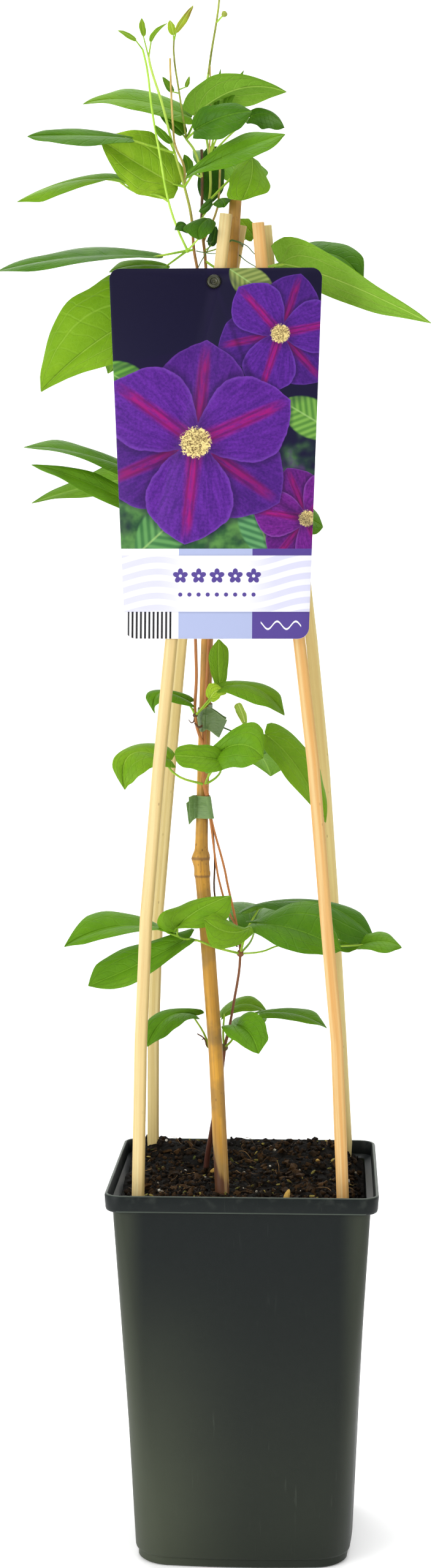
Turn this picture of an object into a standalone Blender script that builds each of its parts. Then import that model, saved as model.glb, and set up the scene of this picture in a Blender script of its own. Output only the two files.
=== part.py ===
"""A clematis on a cane trellis in a square nursery pot.

The frame: +Z up, the origin at the middle of the pot's underside, the label's side towards -Y.
Places are millimetres, turned into metres by MM when a mesh is made.
"""

import math

import bmesh
import bpy
from mathutils import Matrix, Vector

for old in list(bpy.data.objects):
    bpy.data.objects.remove(old, do_unlink=True)

MM = 0.001
# the gap that touching pieces keep
GAP = 0.3

# pot
POT_HEIGHT = 212.0
RIM_WIDTH = 150.0
RIM_BAND = 9.6
BODY_TOP_WIDTH = 141.0
BODY_FOOT_WIDTH = 123.6
FOOT_STEP = 5.0
FOOT_INSET = 1.6
WALL = 1.8
FLOOR = 2.0
CORNER_FOOT = 21.0
CORNER_TOP = 5.0
CORNER_RIM = 10.0
DRAIN_RADIUS = 5.0
DRAIN_PLACE = 36.0

# soil
SOIL_LEVEL = 206.0
SOIL_DIP = 12.0
SOIL_DIP_START = 46.0

# canes
CANE_WIDTH = 6.8
CANE_DEPTH = 5.0
CANE_CORNER = 1.2
CANE_FOOT_LEVEL = 106.0
CENTRE_CANE_RADIUS = 4.0
# its swollen joint, and how much thicker it is below that
CENTRE_CANE_KNOT = 5.0
KNOT_LEVEL = 391
FOOT_SWELL = 0.4

# label, leaning back on the front left cane
LABEL_THICK = 0.9
LABEL_HEIGHT = 204.5
LABEL_TOP_WIDTH = 117.4
LABEL_FOOT_WIDTH = 100.2
LABEL_CORNER = 6.0
LABEL_FOOT = (-14.5, -43.2, 513.7)
LABEL_TOP_SHIFT = -1.8
LABEL_LEAN = math.atan(0.124)
LABEL_HOLE = (-2.6, 197.0)
HOLE_RADIUS = 4.0
STUD_RADIUS = 3.6
STUD_FLANGE = 5.0

# ties
TAPE = 0.7
TAPE_WIDTH = 12.5

# leaves
BLADE_THICK = 0.7
STALK_RADIUS = 0.85
NEAR = 0.3
FAR = 0.7


def material(name, colour, roughness):
    made = bpy.data.materials.new(name)
    made.use_nodes = True
    shader = made.node_tree.nodes["Principled BSDF"]
    shader.inputs["Base Color"].default_value = (*colour, 1.0)
    shader.inputs["Roughness"].default_value = roughness
    shader.inputs["Metallic"].default_value = 0.0
    made.diffuse_color = (*colour, 1.0)
    return made


POT_PLASTIC = material("pot_plastic", (0.020, 0.028, 0.026), 0.45)
SOIL_BROWN = material("soil", (0.016, 0.010, 0.006), 0.95)
CANE_STRAW = material("cane_straw", (0.80, 0.66, 0.32), 0.55)
CANE_OCHRE = material("cane_ochre", (0.48, 0.28, 0.07), 0.55)
TAPE_GREEN = material("tape_green", (0.10, 0.22, 0.10), 0.5)
LABEL_PLASTIC = material("label_plastic", (0.60, 0.55, 0.80), 0.35)
STUD_OLIVE = material("stud_olive", (0.05, 0.06, 0.03), 0.35)
LEAF_GREEN = material("leaf_green", (0.10, 0.30, 0.03), 0.45)
STEM_BROWN = material("stem_brown", (0.20, 0.09, 0.03), 0.6)


# shapes

def object_from(bm, name, look):
    """Turns a bmesh in millimetres into an object in metres."""
    bmesh.ops.scale(bm, vec=(MM, MM, MM), verts=bm.verts)
    bmesh.ops.triangulate(bm, faces=bm.faces)
    bmesh.ops.recalc_face_normals(bm, faces=bm.faces)
    mesh = bpy.data.meshes.new(name)
    bm.to_mesh(mesh)
    bm.free()
    mesh.materials.append(look)
    made = bpy.data.objects.new(name, mesh)
    bpy.context.scene.collection.objects.link(made)
    return made


def loft(rings):
    """A closed body through rings of equal count, capped at both ends."""
    bm = bmesh.new()
    rows = [[bm.verts.new(point) for point in ring] for ring in rings]
    count = len(rows[0])
    for low, high in zip(rows, rows[1:]):
        for i in range(count):
            j = (i + 1) % count
            bm.faces.new((low[i], low[j], high[j], high[i]))
    bm.faces.new(reversed(rows[0]))
    bm.faces.new(rows[-1])
    return bm


def tangents(line):
    spans = [(b - a).normalized() for a, b in zip(line, line[1:])]
    middles = [(a + b).normalized() for a, b in zip(spans, spans[1:])]
    return [spans[0], *middles, spans[-1]]


def round_tube(line, radii, sides):
    """A round tube along a line, with a radius for each of its points."""
    rings = []
    across = Vector((0.31, 0.87, 0.12))
    for point, along, radius in zip(line, tangents(line), radii):
        across = (across - across.dot(along) * along).normalized()
        other = along.cross(across)
        turns = [2 * math.pi * k / sides for k in range(sides)]
        rings.append([point + radius * (math.cos(a) * across + math.sin(a) * other) for a in turns])
    return loft(rings)


def rounded_corners(half_width, half_depth, corner, steps):
    """The points of a rounded rectangle, anticlockwise."""
    points = []
    for quarter, (sx, sy) in enumerate([(1, 1), (-1, 1), (-1, -1), (1, -1)]):
        for step in range(steps + 1):
            a = math.pi / 2 * (quarter + step / steps)
            x = sx * (half_width - corner) + corner * math.cos(a)
            y = sy * (half_depth - corner) + corner * math.sin(a)
            points.append((x, y))
    return points


def split_cane(line, extra=0.0):
    """A tube with the split cane's section, its width kept along X. extra grows the section."""
    outline = rounded_corners(CANE_WIDTH / 2 + extra, CANE_DEPTH / 2 + extra, CANE_CORNER + extra, 1)
    rings = []
    for point, along in zip(line, tangents(line)):
        across = (Vector((1, 0, 0)) - along.x * along).normalized()
        deep = along.cross(across)
        rings.append([point + x * across + y * deep for x, y in outline])
    return loft(rings)


def boolean(target, operation, *others, solver="EXACT"):
    """Joins others to the target or cuts them from it, and removes them."""
    tools = bpy.data.collections.new("tools")
    bpy.context.scene.collection.children.link(tools)
    for other in others:
        tools.objects.link(other)
        bpy.context.scene.collection.objects.unlink(other)
    change = target.modifiers.new("boolean", "BOOLEAN")
    change.operation = operation
    change.solver = solver
    change.operand_type = "COLLECTION"
    change.collection = tools
    with bpy.context.temp_override(object=target, active_object=target):
        bpy.ops.object.modifier_apply(modifier=change.name)
    for other in others:
        bpy.data.objects.remove(other, do_unlink=True)
    bpy.data.collections.remove(tools)


def share(low, high, value):
    return min(1.0, max(0.0, (value - low) / (high - low)))


# pot

def wall_half(z):
    """Half the pot body's outer width at a height, and the corner's radius there."""
    t = share(FOOT_STEP, POT_HEIGHT - RIM_BAND, z)
    half = (BODY_FOOT_WIDTH + (BODY_TOP_WIDTH - BODY_FOOT_WIDTH) * t) / 2
    return half, CORNER_FOOT + (CORNER_TOP - CORNER_FOOT) * t


def pot_ring(z, half, corner):
    return [(x, y, z) for x, y in rounded_corners(half, half, corner, 3)]


def body_ring(z, inwards):
    half, corner = wall_half(z)
    return pot_ring(z, half - inwards, max(1.0, corner - inwards))


BAND_FOOT = POT_HEIGHT - RIM_BAND
rim_half = RIM_WIDTH / 2
pot = object_from(
    loft([
        body_ring(0, FOOT_INSET),
        body_ring(FOOT_STEP, FOOT_INSET),
        body_ring(FOOT_STEP + 0.4, 0),
        body_ring(POT_HEIGHT / 2, 0),
        body_ring(BAND_FOOT, 0),
        pot_ring(BAND_FOOT + 0.4, rim_half - 0.9, CORNER_RIM - 0.9),
        pot_ring(POT_HEIGHT, rim_half, CORNER_RIM),
        pot_ring(POT_HEIGHT, rim_half - WALL, CORNER_RIM - WALL),
        pot_ring(BAND_FOOT + WALL, rim_half - WALL - 0.9, CORNER_RIM - WALL - 0.9),
        body_ring(BAND_FOOT, WALL),
        body_ring(POT_HEIGHT / 2, WALL),
        body_ring(FOOT_STEP + 0.4, WALL + 0.2),
        body_ring(FLOOR, WALL + FOOT_INSET),
    ]),
    "pot",
    POT_PLASTIC,
)
drains = []
for sx in (-1, 1):
    for sy in (-1, 1):
        middle = Vector((sx * DRAIN_PLACE, sy * DRAIN_PLACE, 0))
        line = [middle - Vector((0, 0, 4)), middle + Vector((0, 0, 8))]
        drains.append(object_from(round_tube(line, [DRAIN_RADIUS] * 2, 10), "drain", POT_PLASTIC))
boolean(pot, "DIFFERENCE", *drains)


# canes
# Each line runs from the foot in the soil to the cut top.

CANE_LINES = {
    "cane_front_left": [
        (-52, -53, CANE_FOOT_LEVEL), (-57, -58, 207), (-55.4, -56.4, 294), (-52.6, -53.5, 361),
        (-45.9, -46.7, 444), (-39.5, -40.2, 512), (-13.8, -14.1, 717.5), (-10.8, -11, 747),
    ],
    "cane_back_left": [
        (-52, 53, CANE_FOOT_LEVEL), (-56.9, 57.9, 215), (-56.7, 57.6, 274), (-54, 55, 348),
        (-45.8, 46.6, 438), (-38.8, 39.5, 511), (-7.8, 10.8, 720), (-3.4, 10.4, 744),
    ],
    "cane_front_right": [
        (51, -52, CANE_FOOT_LEVEL), (55.3, -56.3, 207), (51.7, -52.6, 294), (45.5, -46.3, 361),
        (38.4, -39.1, 444), (30.4, -30.9, 512), (9, -9.6, 718), (6.8, -9, 742.5),
    ],
    "cane_back_right": [
        (52, 53, CANE_FOOT_LEVEL), (57.8, 58.8, 214), (54.4, 55.4, 275), (50, 50.9, 349),
        (43.8, 44.6, 438), (36.6, 37.2, 511), (12.4, 12.6, 721), (10.4, 12, 744),
    ],
}
for name, points in CANE_LINES.items():
    object_from(split_cane([Vector(p) for p in points]), name, CANE_STRAW)

CENTRE_LINE = [
    (-8, -38, 80), (-11.6, -36, 204), (-15.7, -29, 284), (-21.4, -24, 357), (-23.4, -21.6, 380),
    (-24.2, -20, KNOT_LEVEL), (-24.1, -18.5, 402), (-23.6, -14, 429), (-21.9, 0, 511), (-14.3, 1.5, 635),
    (-8.3, 2, 720), (-5.8, 2.5, 762.3),
]


def centre_radius(z):
    if z == KNOT_LEVEL:
        return CENTRE_CANE_KNOT
    return CENTRE_CANE_RADIUS + (FOOT_SWELL if z < KNOT_LEVEL else 0.0)


centre_line = [Vector(p) for p in CENTRE_LINE]
centre_radii = [centre_radius(point.z) for point in centre_line]
object_from(round_tube(centre_line, centre_radii, 10), "centre_cane", CANE_OCHRE)


# leafy stems
# A leaf is a stalk, three points of its midrib and two or four points of its edges. The upper
# face looks up when the tip points away and the left edge lies to the left.

def on_rib(base, mid, tip, t):
    bend = 2 * mid - (base + tip) / 2
    return (1 - t) ** 2 * base + 2 * t * (1 - t) * bend + t * t * tip


def width_share(t):
    """The blade's half width at t along the midrib, as a share of the widest."""
    foot = 0.45
    if t < NEAR:
        return foot + (1 - foot) * math.sin(math.pi / 2 * t / NEAR)
    return max(0.04, (1 - share(NEAR, 1, t) ** 1.9) ** 0.95)


def blade_grid(base, mid, tip, left, right, left_far, right_far, rows, columns):
    """Points across the blade, row by row from base to tip, left edge to right edge."""
    near_point, far_point = on_rib(base, mid, tip, NEAR), on_rib(base, mid, tip, FAR)
    left_near, right_near = left - near_point, right - near_point
    left_end = (left_far - far_point) / width_share(FAR) if left_far else left_near
    right_end = (right_far - far_point) / width_share(FAR) if right_far else right_near
    grid = []
    for i in range(rows + 1):
        t = i / rows
        centre = on_rib(base, mid, tip, t)
        along = on_rib(base, mid, tip, min(1, t + 0.01)) - on_rib(base, mid, tip, max(0, t - 0.01))
        along.normalize()
        mix = min(1.2, max(-0.35, (t - NEAR) / (FAR - NEAR)))
        to_left = left_near.lerp(left_end, mix)
        to_right = right_near.lerp(right_end, mix)
        up = (to_right - to_left).cross(along).normalized()
        row = []
        for j in range(-columns, columns + 1):
            s = abs(j) / columns
            side = to_left if j < 0 else to_right
            lobe = 0.25 * side.length * s * s * max(0, 1 - t / NEAR) ** 1.5
            bulge = 0.48 * side.length * width_share(t) * s * (1 - s)
            row.append(centre + side * s * width_share(t) - along * lobe + up * bulge)
        grid.append(row)
    return grid


def blade_solid(grid):
    """A closed sheet on a grid of points, triangulated alike on both faces."""
    bm = bmesh.new()
    faces = {}
    last_row, last = len(grid) - 1, len(grid[0]) - 1
    for i, row in enumerate(grid):
        for j, point in enumerate(row):
            along = grid[min(i + 1, last_row)][j] - grid[max(i - 1, 0)][j]
            across = row[min(j + 1, last)] - row[max(j - 1, 0)]
            up = across.cross(along).normalized() * BLADE_THICK / 2
            faces[i, j, 1] = bm.verts.new(point + up)
            faces[i, j, -1] = bm.verts.new(point - up)
    for i in range(last_row):
        for j in range(last):
            for side in (1, -1):
                a, b = faces[i, j, side], faces[i, j + 1, side]
                c, d = faces[i + 1, j + 1, side], faces[i + 1, j, side]
                bm.faces.new((a, b, c))
                bm.faces.new((a, c, d))
    rim = [(0, j) for j in range(last)] + [(i, last) for i in range(last_row)]
    rim += [(last_row, j) for j in range(last, 0, -1)] + [(i, 0) for i in range(last_row, 0, -1)]
    for a, b in zip(rim, rim[1:] + rim[:1]):
        bm.faces.new((faces[*a, 1], faces[*b, 1], faces[*b, -1]))
        bm.faces.new((faces[*a, 1], faces[*b, -1], faces[*a, -1]))
    return bm


class Shoot:
    """Stems, knots, stalks and blades that are fused into one node."""

    def __init__(self, name):
        self.name = name
        self.pieces = []

    def stem(self, points, thick, thin):
        line = [Vector(p) for p in points]
        last = len(line) - 1
        radii = [thick + (thin - thick) * i / last for i in range(last + 1)]
        self.pieces.append(object_from(round_tube(line, radii, 5), self.name, STEM_BROWN))

    def knot(self, place, radius):
        bm = bmesh.new()
        bmesh.ops.create_icosphere(bm, subdivisions=1, radius=radius, matrix=Matrix.Translation(place))
        self.pieces.append(object_from(bm, self.name, STEM_BROWN))

    def leaf(self, stalk, base, mid, tip, left, right, left_far=None, right_far=None):
        points = [Vector(p) if p else None for p in (base, mid, tip, left, right, left_far, right_far)]
        big = left_far is not None
        line = [*(Vector(p) for p in stalk), on_rib(*points[:3], 0.1)]
        radii = [STALK_RADIUS] * (len(line) - 1) + [STALK_RADIUS * 0.8]
        self.pieces.append(object_from(round_tube(line, radii, 4), self.name, LEAF_GREEN))
        grid = blade_grid(*points, rows=5 if big else 3, columns=1)
        self.pieces.append(object_from(blade_solid(grid), self.name, LEAF_GREEN))

    def join(self):
        # the exact solver leaves a shoot in two bodies where its thin pieces cross
        whole, *rest = self.pieces
        boolean(whole, "UNION", *rest, solver="MANIFOLD")
        whole.name = self.name


# low stem, out of the soil, with the two lowest tiers

LOW_KNOT = (-11.3, -19, 284)
TWIG_KNOT = (-20.2, -21, 284.4)
SECOND_KNOT = (-2.4, -18, 337.1)
LEFT_JOINT = (-36, -36, 349)
RIGHT_JOINT = (48, 0, 339)
TRUNK_LINE = [(-24.5, 20, 150), (-23.5, 20, 206), (-19.9, 8, 229), (-14.9, -9, 258), LOW_KNOT]
TRUNK_RADIUS = 1.8

low = Shoot("stem_low")
low.stem(TRUNK_LINE, TRUNK_RADIUS, 1.4)
low.stem([LOW_KNOT, (-9.3, -19, 292), (-6.2, -19, 308.5), SECOND_KNOT, (-3.2, -17.5, 345)], 1.3, 1.1)
low.stem([LOW_KNOT, (-16.1, -20, 283.2), TWIG_KNOT, (-22.4, -24, 290), (-26.1, -26, 293)], 1.2, 0.7)
low.knot(LOW_KNOT, 2.6)
low.knot(SECOND_KNOT, 2.3)
low.leaf([TWIG_KNOT, (-21.5, -22, 290)], base=(-27, -25, 303), mid=(-42, -32, 303), tip=(-53, -40, 288),
         left=(-32, -38, 302), right=(-34, -24, 307), left_far=(-42, -42, 295), right_far=(-54, -32, 301))
low.leaf([LOW_KNOT, (-7, -24, 289)], base=(-4, -28, 298), mid=(4, -42, 296), tip=(9, -54, 287),
         left=(8, -38, 306), right=(-10, -38, 296), left_far=(14, -48, 296), right_far=(0, -50, 290))
low.leaf([LOW_KNOT, (-12, -18, 290)], base=(-13, -12, 300), mid=(-1, -2, 306), tip=(13, 4, 299),
         left=(-8, 8, 306), right=(-6, -10, 302), left_far=(6, 10, 307), right_far=(7, -6, 303))
low.leaf([LOW_KNOT, (-8, -16, 292)], base=(9, -10, 302), mid=(28, -6, 301), tip=(46, -10, 294),
         left=(16, 4, 302), right=(17, -16, 300), left_far=(37, 4, 301), right_far=(36, -16, 298))
low.leaf([LOW_KNOT, (-10, 0, 289)], base=(-8, 16, 294), mid=(-2, 40, 300), tip=(6, 62, 288),
         left=(-18, 34, 301), right=(12, 36, 300))
low.leaf([SECOND_KNOT, (1, -22, 348)], base=(5, -24, 355), mid=(30, -30, 352), tip=(54, -30, 341),
         left=(15, -18, 361), right=(14, -36, 347), left_far=(41, -16, 365), right_far=(39, -38, 339))
low.leaf([SECOND_KNOT, (-1, -8, 345)], base=(2, -2, 358), mid=(41, 6, 363), tip=(73, 2, 342),
         left=(19, 12, 363), right=(19, -6, 359), left_far=(60, 14, 359), right_far=(55, -8, 344))
low.leaf([SECOND_KNOT, (10, -22, 339), (19, -20, 342), RIGHT_JOINT], base=(53, 10, 338), mid=(61, 9, 339),
         tip=(70, 8, 343), left=(59, 15, 343), right=(58, 5, 335))
low.leaf([RIGHT_JOINT], base=(65, -4, 340), mid=(77, -8, 343), tip=(88, -10, 340),
         left=(71, 0, 347), right=(70, -14, 339), left_far=(81, -2, 346), right_far=(81, -16, 338))
low.leaf([SECOND_KNOT, (0, -24, 346)], base=(4, -32, 354), mid=(-8, -46, 353), tip=(-21, -52, 361),
         left=(-2, -44, 346), right=(-4, -38, 356), left_far=(-16, -52, 346), right_far=(-15, -48, 363))
low.leaf([SECOND_KNOT, (-17, -32, 343), (-26, -36, 347), LEFT_JOINT], base=(-37, -38, 352),
         mid=(-27, -42, 363), tip=(-7, -38, 372), left=(-44, -36, 362), right=(-30, -46, 355),
         left_far=(-25, -38, 370), right_far=(-10, -44, 359))
low.leaf([(-26, -36, 347)], base=(-30, -34, 348), mid=(-58, -33, 333), tip=(-86, -36, 321),
         left=(-41, -40, 336), right=(-47, -26, 347), left_far=(-67, -40, 321), right_far=(-79, -26, 334))
low.leaf([LEFT_JOINT], base=(-39, -30, 349), mid=(-70, -26, 353), tip=(-100, -30, 342),
         left=(-53, -36, 352), right=(-53, -18, 355), left_far=(-84, -36, 346), right_far=(-84, -18, 360))
low.leaf([SECOND_KNOT, (3, 0, 342)], base=(4, 20, 346), mid=(10, 52, 354), tip=(18, 86, 336),
         left=(-14, 40, 356), right=(28, 42, 354), left_far=(-6, 68, 350), right_far=(32, 66, 346))
low.join()


# middle stems, up the centre cane and behind the label

THIRD_KNOT = (-22.2, -19.3, 432)
FOURTH_KNOT = (-27.8, -15, 470.6)
LEFT_RISE = (-30.2, -10, 592)
RIGHT_RISE = (-16.8, -4.2, 589)
HIGH_LEFT = (-31.1, -6, 677)
HIGH_RIGHT = (-15.1, -4.6, 691)
MIDDLE_END_LEFT = (-27.1, -3, 718)
MIDDLE_END_RIGHT = (-22.4, -1, 718)

middle = Shoot("stem_middle")
middle.stem([(-3.2, -17.5, 345 + GAP + 0.1), (-4.6, -18, 354), (-9.7, -18.5, 377), (-11, -19, 384),
             (-18.5, -20.5, 413), (-20.8, -20.8, 426), THIRD_KNOT], 1.0, 0.9)
middle.stem([(-4.2, -18, 352), (-8.6, -18.5, 360), (-14, -21, 378), (-15.4, -21, 385), (-19.3, -20.9, 414),
             (-21.3, -20.8, 426)], 0.9, 0.8)
middle.stem([(-20.8, -20.8, 426), THIRD_KNOT, (-22.7, -15.7, 453), (-22.5, -12.9, 470), (-21.3, -9.3, 490),
             (-20.5, -6.2, 511), (-18.9, -5, 545), RIGHT_RISE, (-14.2, -4.6, 650), HIGH_RIGHT, (-18, -4, 703),
             MIDDLE_END_RIGHT], 1.3, 0.9)
middle.stem([(-22.7, -15.7, 453), (-26.4, -16.6, 463), FOURTH_KNOT, (-27.3, -11.5, 492), (-27.9, -9, 511),
             (-29, -8, 562), LEFT_RISE, (-31, -8, 630), HIGH_LEFT, (-29.1, -4, 708), MIDDLE_END_LEFT],
            0.9, 0.9)
middle.knot(THIRD_KNOT, 1.7)
middle.leaf([THIRD_KNOT, (-39, -26, 439)], base=(-41, -25, 446), mid=(-63, -24, 449), tip=(-66, -30, 430),
            left=(-50, -32, 442), right=(-56, -16, 455), left_far=(-61, -32, 435), right_far=(-73, -24, 445))
middle.leaf([THIRD_KNOT, (-20, -26, 437)], base=(-19, -30, 446), mid=(-27, -42, 450), tip=(-35, -46, 451),
            left=(-24, -46, 445), right=(-23, -36, 455))
middle.leaf([(-20, -26, 437)], base=(-18, -32, 447), mid=(-2, -44, 456), tip=(11, -48, 449),
            left=(-11, -38, 460), right=(-12, -44, 442), left_far=(9, -42, 467), right_far=(3, -50, 445))
middle.leaf([(-22.7, -15.7, 453), (-17, -17.5, 459), (-11, -17, 463)], base=(2, -12, 468),
            mid=(-1, -10, 473), tip=(-4, -8, 477), left=(-4, -10, 471), right=(3, -10, 473))
middle.leaf([(-11, -17, 463), (0, -14, 461)], base=(11, -12, 460), mid=(29, -10, 441), tip=(45, -6, 410),
            left=(28, -2, 458), right=(14, -18, 448), left_far=(44, 0, 433), right_far=(30, -18, 428))
middle.leaf([THIRD_KNOT, (-16, -17, 436), (-13, -4, 441)], base=(-7, 18, 447), mid=(0, 50, 454),
            tip=(8, 80, 436), left=(-20, 40, 456), right=(14, 42, 454), left_far=(-14, 66, 450),
            right_far=(22, 64, 446))
middle.leaf([FOURTH_KNOT, (-30, -15, 475)], base=(-31, -14, 478), mid=(-47, -16, 483), tip=(-50, -20, 472),
            left=(-38, -22, 478), right=(-40, -10, 484), left_far=(-49, -22, 477), right_far=(-55, -14, 482))
middle.leaf([FOURTH_KNOT, (-19, -22, 479)], base=(-13, -22, 486), mid=(6, -20, 486), tip=(22, -20, 471),
            left=(-4, -14, 490), right=(-4, -28, 482), left_far=(17, -14, 484), right_far=(13, -28, 475))
middle.leaf([(-19, -22, 479)], base=(-14, -16, 485), mid=(-15, -12, 499), tip=(-15, -10, 513),
            left=(-19, -14, 494), right=(-10, -12, 494), left_far=(-20, -10, 505), right_far=(-10, -8, 507))
middle.leaf([LEFT_RISE], base=(-54, -8, 603), mid=(-88, -16, 615), tip=(-122, -22, 619),
            left=(-73, -22, 606), right=(-74, 0, 614), left_far=(-103, -28, 616), right_far=(-103, -8, 623))
middle.leaf([LEFT_RISE], base=(-53, -16, 583), mid=(-86, -24, 599), tip=(-117, -30, 609),
            left=(-71, -26, 586), right=(-69, -16, 598), left_far=(-99, -34, 600), right_far=(-96, -22, 608))
middle.leaf([LEFT_RISE], base=(-57, 4, 604), mid=(-88, 4, 599), tip=(-120, -4, 589),
            left=(-76, -5, 609), right=(-78, 13, 594), left_far=(-100, -5, 600), right_far=(-104, 6, 592))
middle.leaf([LEFT_RISE, (-38, 4, 584)], base=(-50, 26, 582), mid=(-72, 50, 588), tip=(-96, 66, 570),
            left=(-78, 28, 586), right=(-54, 58, 594), left_far=(-98, 46, 576), right_far=(-76, 70, 580))
middle.leaf([RIGHT_RISE, (-8, -6, 586)], base=(21, -6, 582), mid=(34, -10, 580), tip=(43, -14, 575),
            left=(27, 2, 588), right=(27, -14, 573), left_far=(39, -4, 584), right_far=(37, -18, 570))
middle.leaf([RIGHT_RISE, (-8, -7, 600), (6, 4, 608), (14, 18, 614)], base=(16, 38, 622), mid=(36, 62, 626),
            tip=(58, 84, 604), left=(14, 66, 630), right=(44, 44, 626), left_far=(34, 88, 620),
            right_far=(62, 62, 614))
middle.leaf([HIGH_LEFT], base=(-55, -4, 694), mid=(-85, -10, 676), tip=(-113, -16, 650),
            left=(-64, -16, 667), right=(-88, 0, 710), left_far=(-93, -20, 659), right_far=(-111, -6, 679))
middle.leaf([HIGH_LEFT, (-30, 10, 682)], base=(-36, 32, 690), mid=(-58, 58, 690), tip=(-84, 76, 668),
            left=(-60, 34, 690), right=(-36, 58, 696), left_far=(-82, 58, 680), right_far=(-62, 80, 682))
middle.leaf([HIGH_RIGHT, (-4, -5, 692), (3, 6, 696)], base=(4, 28, 702), mid=(8, 60, 706), tip=(16, 92, 690),
            left=(-10, 48, 708), right=(24, 46, 706), left_far=(-2, 76, 702), right_far=(28, 76, 700))
middle.join()


# left shoot at the top

LEFT_KNOT = (-30.4, -4, 747)
LEAF_KNOT_LEFT = (-34.1, -5, 763)
SIDE_KNOT_LEFT = (-39.3, -8, 781)
FAN_KNOT = (-32.6, -3, 728.5)
LOOP_KNOT = (-42.9, -6, 755)
FORK = (-53.2, -14, 832)
TIP_LEFT = (-56.4, -14, 836)

left = Shoot("shoot_left")
left.stem([(-27.1, -3, 718 + GAP + 0.1), (-29, -3, 729), LEFT_KNOT, LEAF_KNOT_LEFT, SIDE_KNOT_LEFT,
           (-46.2, -14, 808), (-52.2, -14, 827), FORK], 0.9, 0.8)
left.stem([(-29, -3, 729), FAN_KNOT, (-37.9, -5, 740), LOOP_KNOT, (-47.5, -13, 781), (-51.3, -15, 803),
           (-54.1, -14.5, 826), TIP_LEFT], 0.8, 0.7)
left.stem([LEAF_KNOT_LEFT, (-34.4, -3, 774), (-39.3, -4, 786), (-40, -9, 793), (-41, -12.5, 815),
           (-41.6, -12, 831.6)], 0.8, 0.7)
left.knot(FAN_KNOT, 1.6)
left.leaf([FAN_KNOT], base=(-47, 0, 725), mid=(-89, -10, 724), tip=(-137, -16, 716),
          left=(-74, -16, 722), right=(-73, 6, 731), left_far=(-113, -26, 716), right_far=(-113, -4, 727))
left.leaf([FAN_KNOT], base=(-43, 8, 721), mid=(-61, 9, 722), tip=(-77, 6, 718), left=(-60, 2, 718),
          right=(-60, 15, 726))
left.leaf([LEAF_KNOT_LEFT], base=(-38, 0, 764), mid=(-60, -4, 776), tip=(-81, -8, 789),
          left=(-57, -8, 758), right=(-45, 2, 787), left_far=(-71, -12, 769), right_far=(-60, -6, 794))
left.leaf([LEAF_KNOT_LEFT], base=(-32, -14, 767), mid=(-5, -26, 778), tip=(22, -28, 787),
          left=(-19, -20, 779), right=(-16, -32, 768), left_far=(3, -22, 789), right_far=(9, -34, 775))
left.leaf([LEAF_KNOT_LEFT], base=(-33, 4, 772), mid=(-33, 8, 778), tip=(-35, 8, 783), left=(-36, 8, 777),
          right=(-30, 8, 777))
left.leaf([SIDE_KNOT_LEFT], base=(-63, -14, 788), mid=(-91, -19, 789), tip=(-119, -23, 788),
          left=(-78, -26, 783), right=(-79, -12, 792), left_far=(-105, -29, 783), right_far=(-106, -18, 793))
left.leaf([SIDE_KNOT_LEFT], base=(-41, -14, 785), mid=(-45, -18, 789), tip=(-49, -20, 794),
          left=(-47, -18, 788), right=(-42, -16, 789))
left.leaf([LOOP_KNOT, (-48, -6, 758), (-61, -8, 760)], base=(-66, -10, 764), mid=(-94, -16, 765),
          tip=(-125, -22, 753), left=(-81, -18, 764), right=(-80, -6, 770), left_far=(-106, -26, 754),
          right_far=(-106, -14, 763))
left.leaf([LEAF_KNOT_LEFT, (-40, 8, 768)], base=(-52, 24, 772), mid=(-76, 48, 772), tip=(-98, 62, 752),
          left=(-80, 26, 772), right=(-58, 58, 778), left_far=(-100, 42, 760), right_far=(-80, 68, 762))
left.leaf([TIP_LEFT], base=(-60, -14, 841), mid=(-65, -15, 844), tip=(-70, -16, 846), left=(-64, -17, 840),
          right=(-62, -13, 845))
left.leaf([FORK], base=(-56, -14, 843), mid=(-57, -14, 848), tip=(-57, -14, 853), left=(-59, -15, 846),
          right=(-54, -13, 848))
left.leaf([FORK], base=(-52, -14, 840), mid=(-49, -14, 845), tip=(-43, -14, 850), left=(-53, -13, 845),
          right=(-48, -15, 843))
left.join()


# right shoots at the top

DARK_KNOT = (-25, 2, 747)
HIGH_FORK = (-24.7, 4, 769.5)
CROWN_KNOT = (-33.4, 0, 790)
TALL_KNOT = (-21, 6, 781)
TIP_MIDDLE = (-39.7, -8, 842)
BUD_KNOT = (-16.9, 4, 854)

right = Shoot("shoot_right")
right.stem([(-22.4, -1, 718 + GAP + 0.1), (-23.2, 1, 728), (-24, 2, 734), DARK_KNOT, HIGH_FORK,
            (-25.1, 4, 785)], 0.9, 0.9)
right.stem([HIGH_FORK, (-29, 1, 784), CROWN_KNOT, (-34, -4, 795), (-36.6, -10, 813), (-39.7, -9, 835),
            TIP_MIDDLE], 0.8, 0.7)
right.stem([DARK_KNOT, (-21, 5, 757), TALL_KNOT, (-23, 13, 795), (-24.4, 20, 815), (-22, 18, 829),
            (-19.8, 10, 840), BUD_KNOT, (-15.3, 3, 865.5), (-14.8, 3, 873)], 0.9, 0.7)
right.stem([(-24, 2, 734), (-16.6, 8, 753), (-15.7, 9, 760), (-15.1, 10, 776)], 0.7, 0.6)
right.stem([BUD_KNOT, (-14.3, 3, 856.6), (-12.5, 2, 858)], 0.7, 0.7)
right.knot((-12.3, 2, 858.2), 2.1)
right.leaf([(-22.8, 0, 723), (-15, -5, 718), (-8, -5, 717), (1, -3, 718), (13, 1, 720)], base=(18, 4, 722),
           mid=(52, 2, 712), tip=(102, -12, 687), left=(31, 14, 710), right=(36, -2, 731),
           left_far=(68, 4, 696), right_far=(77, -14, 705))
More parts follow.
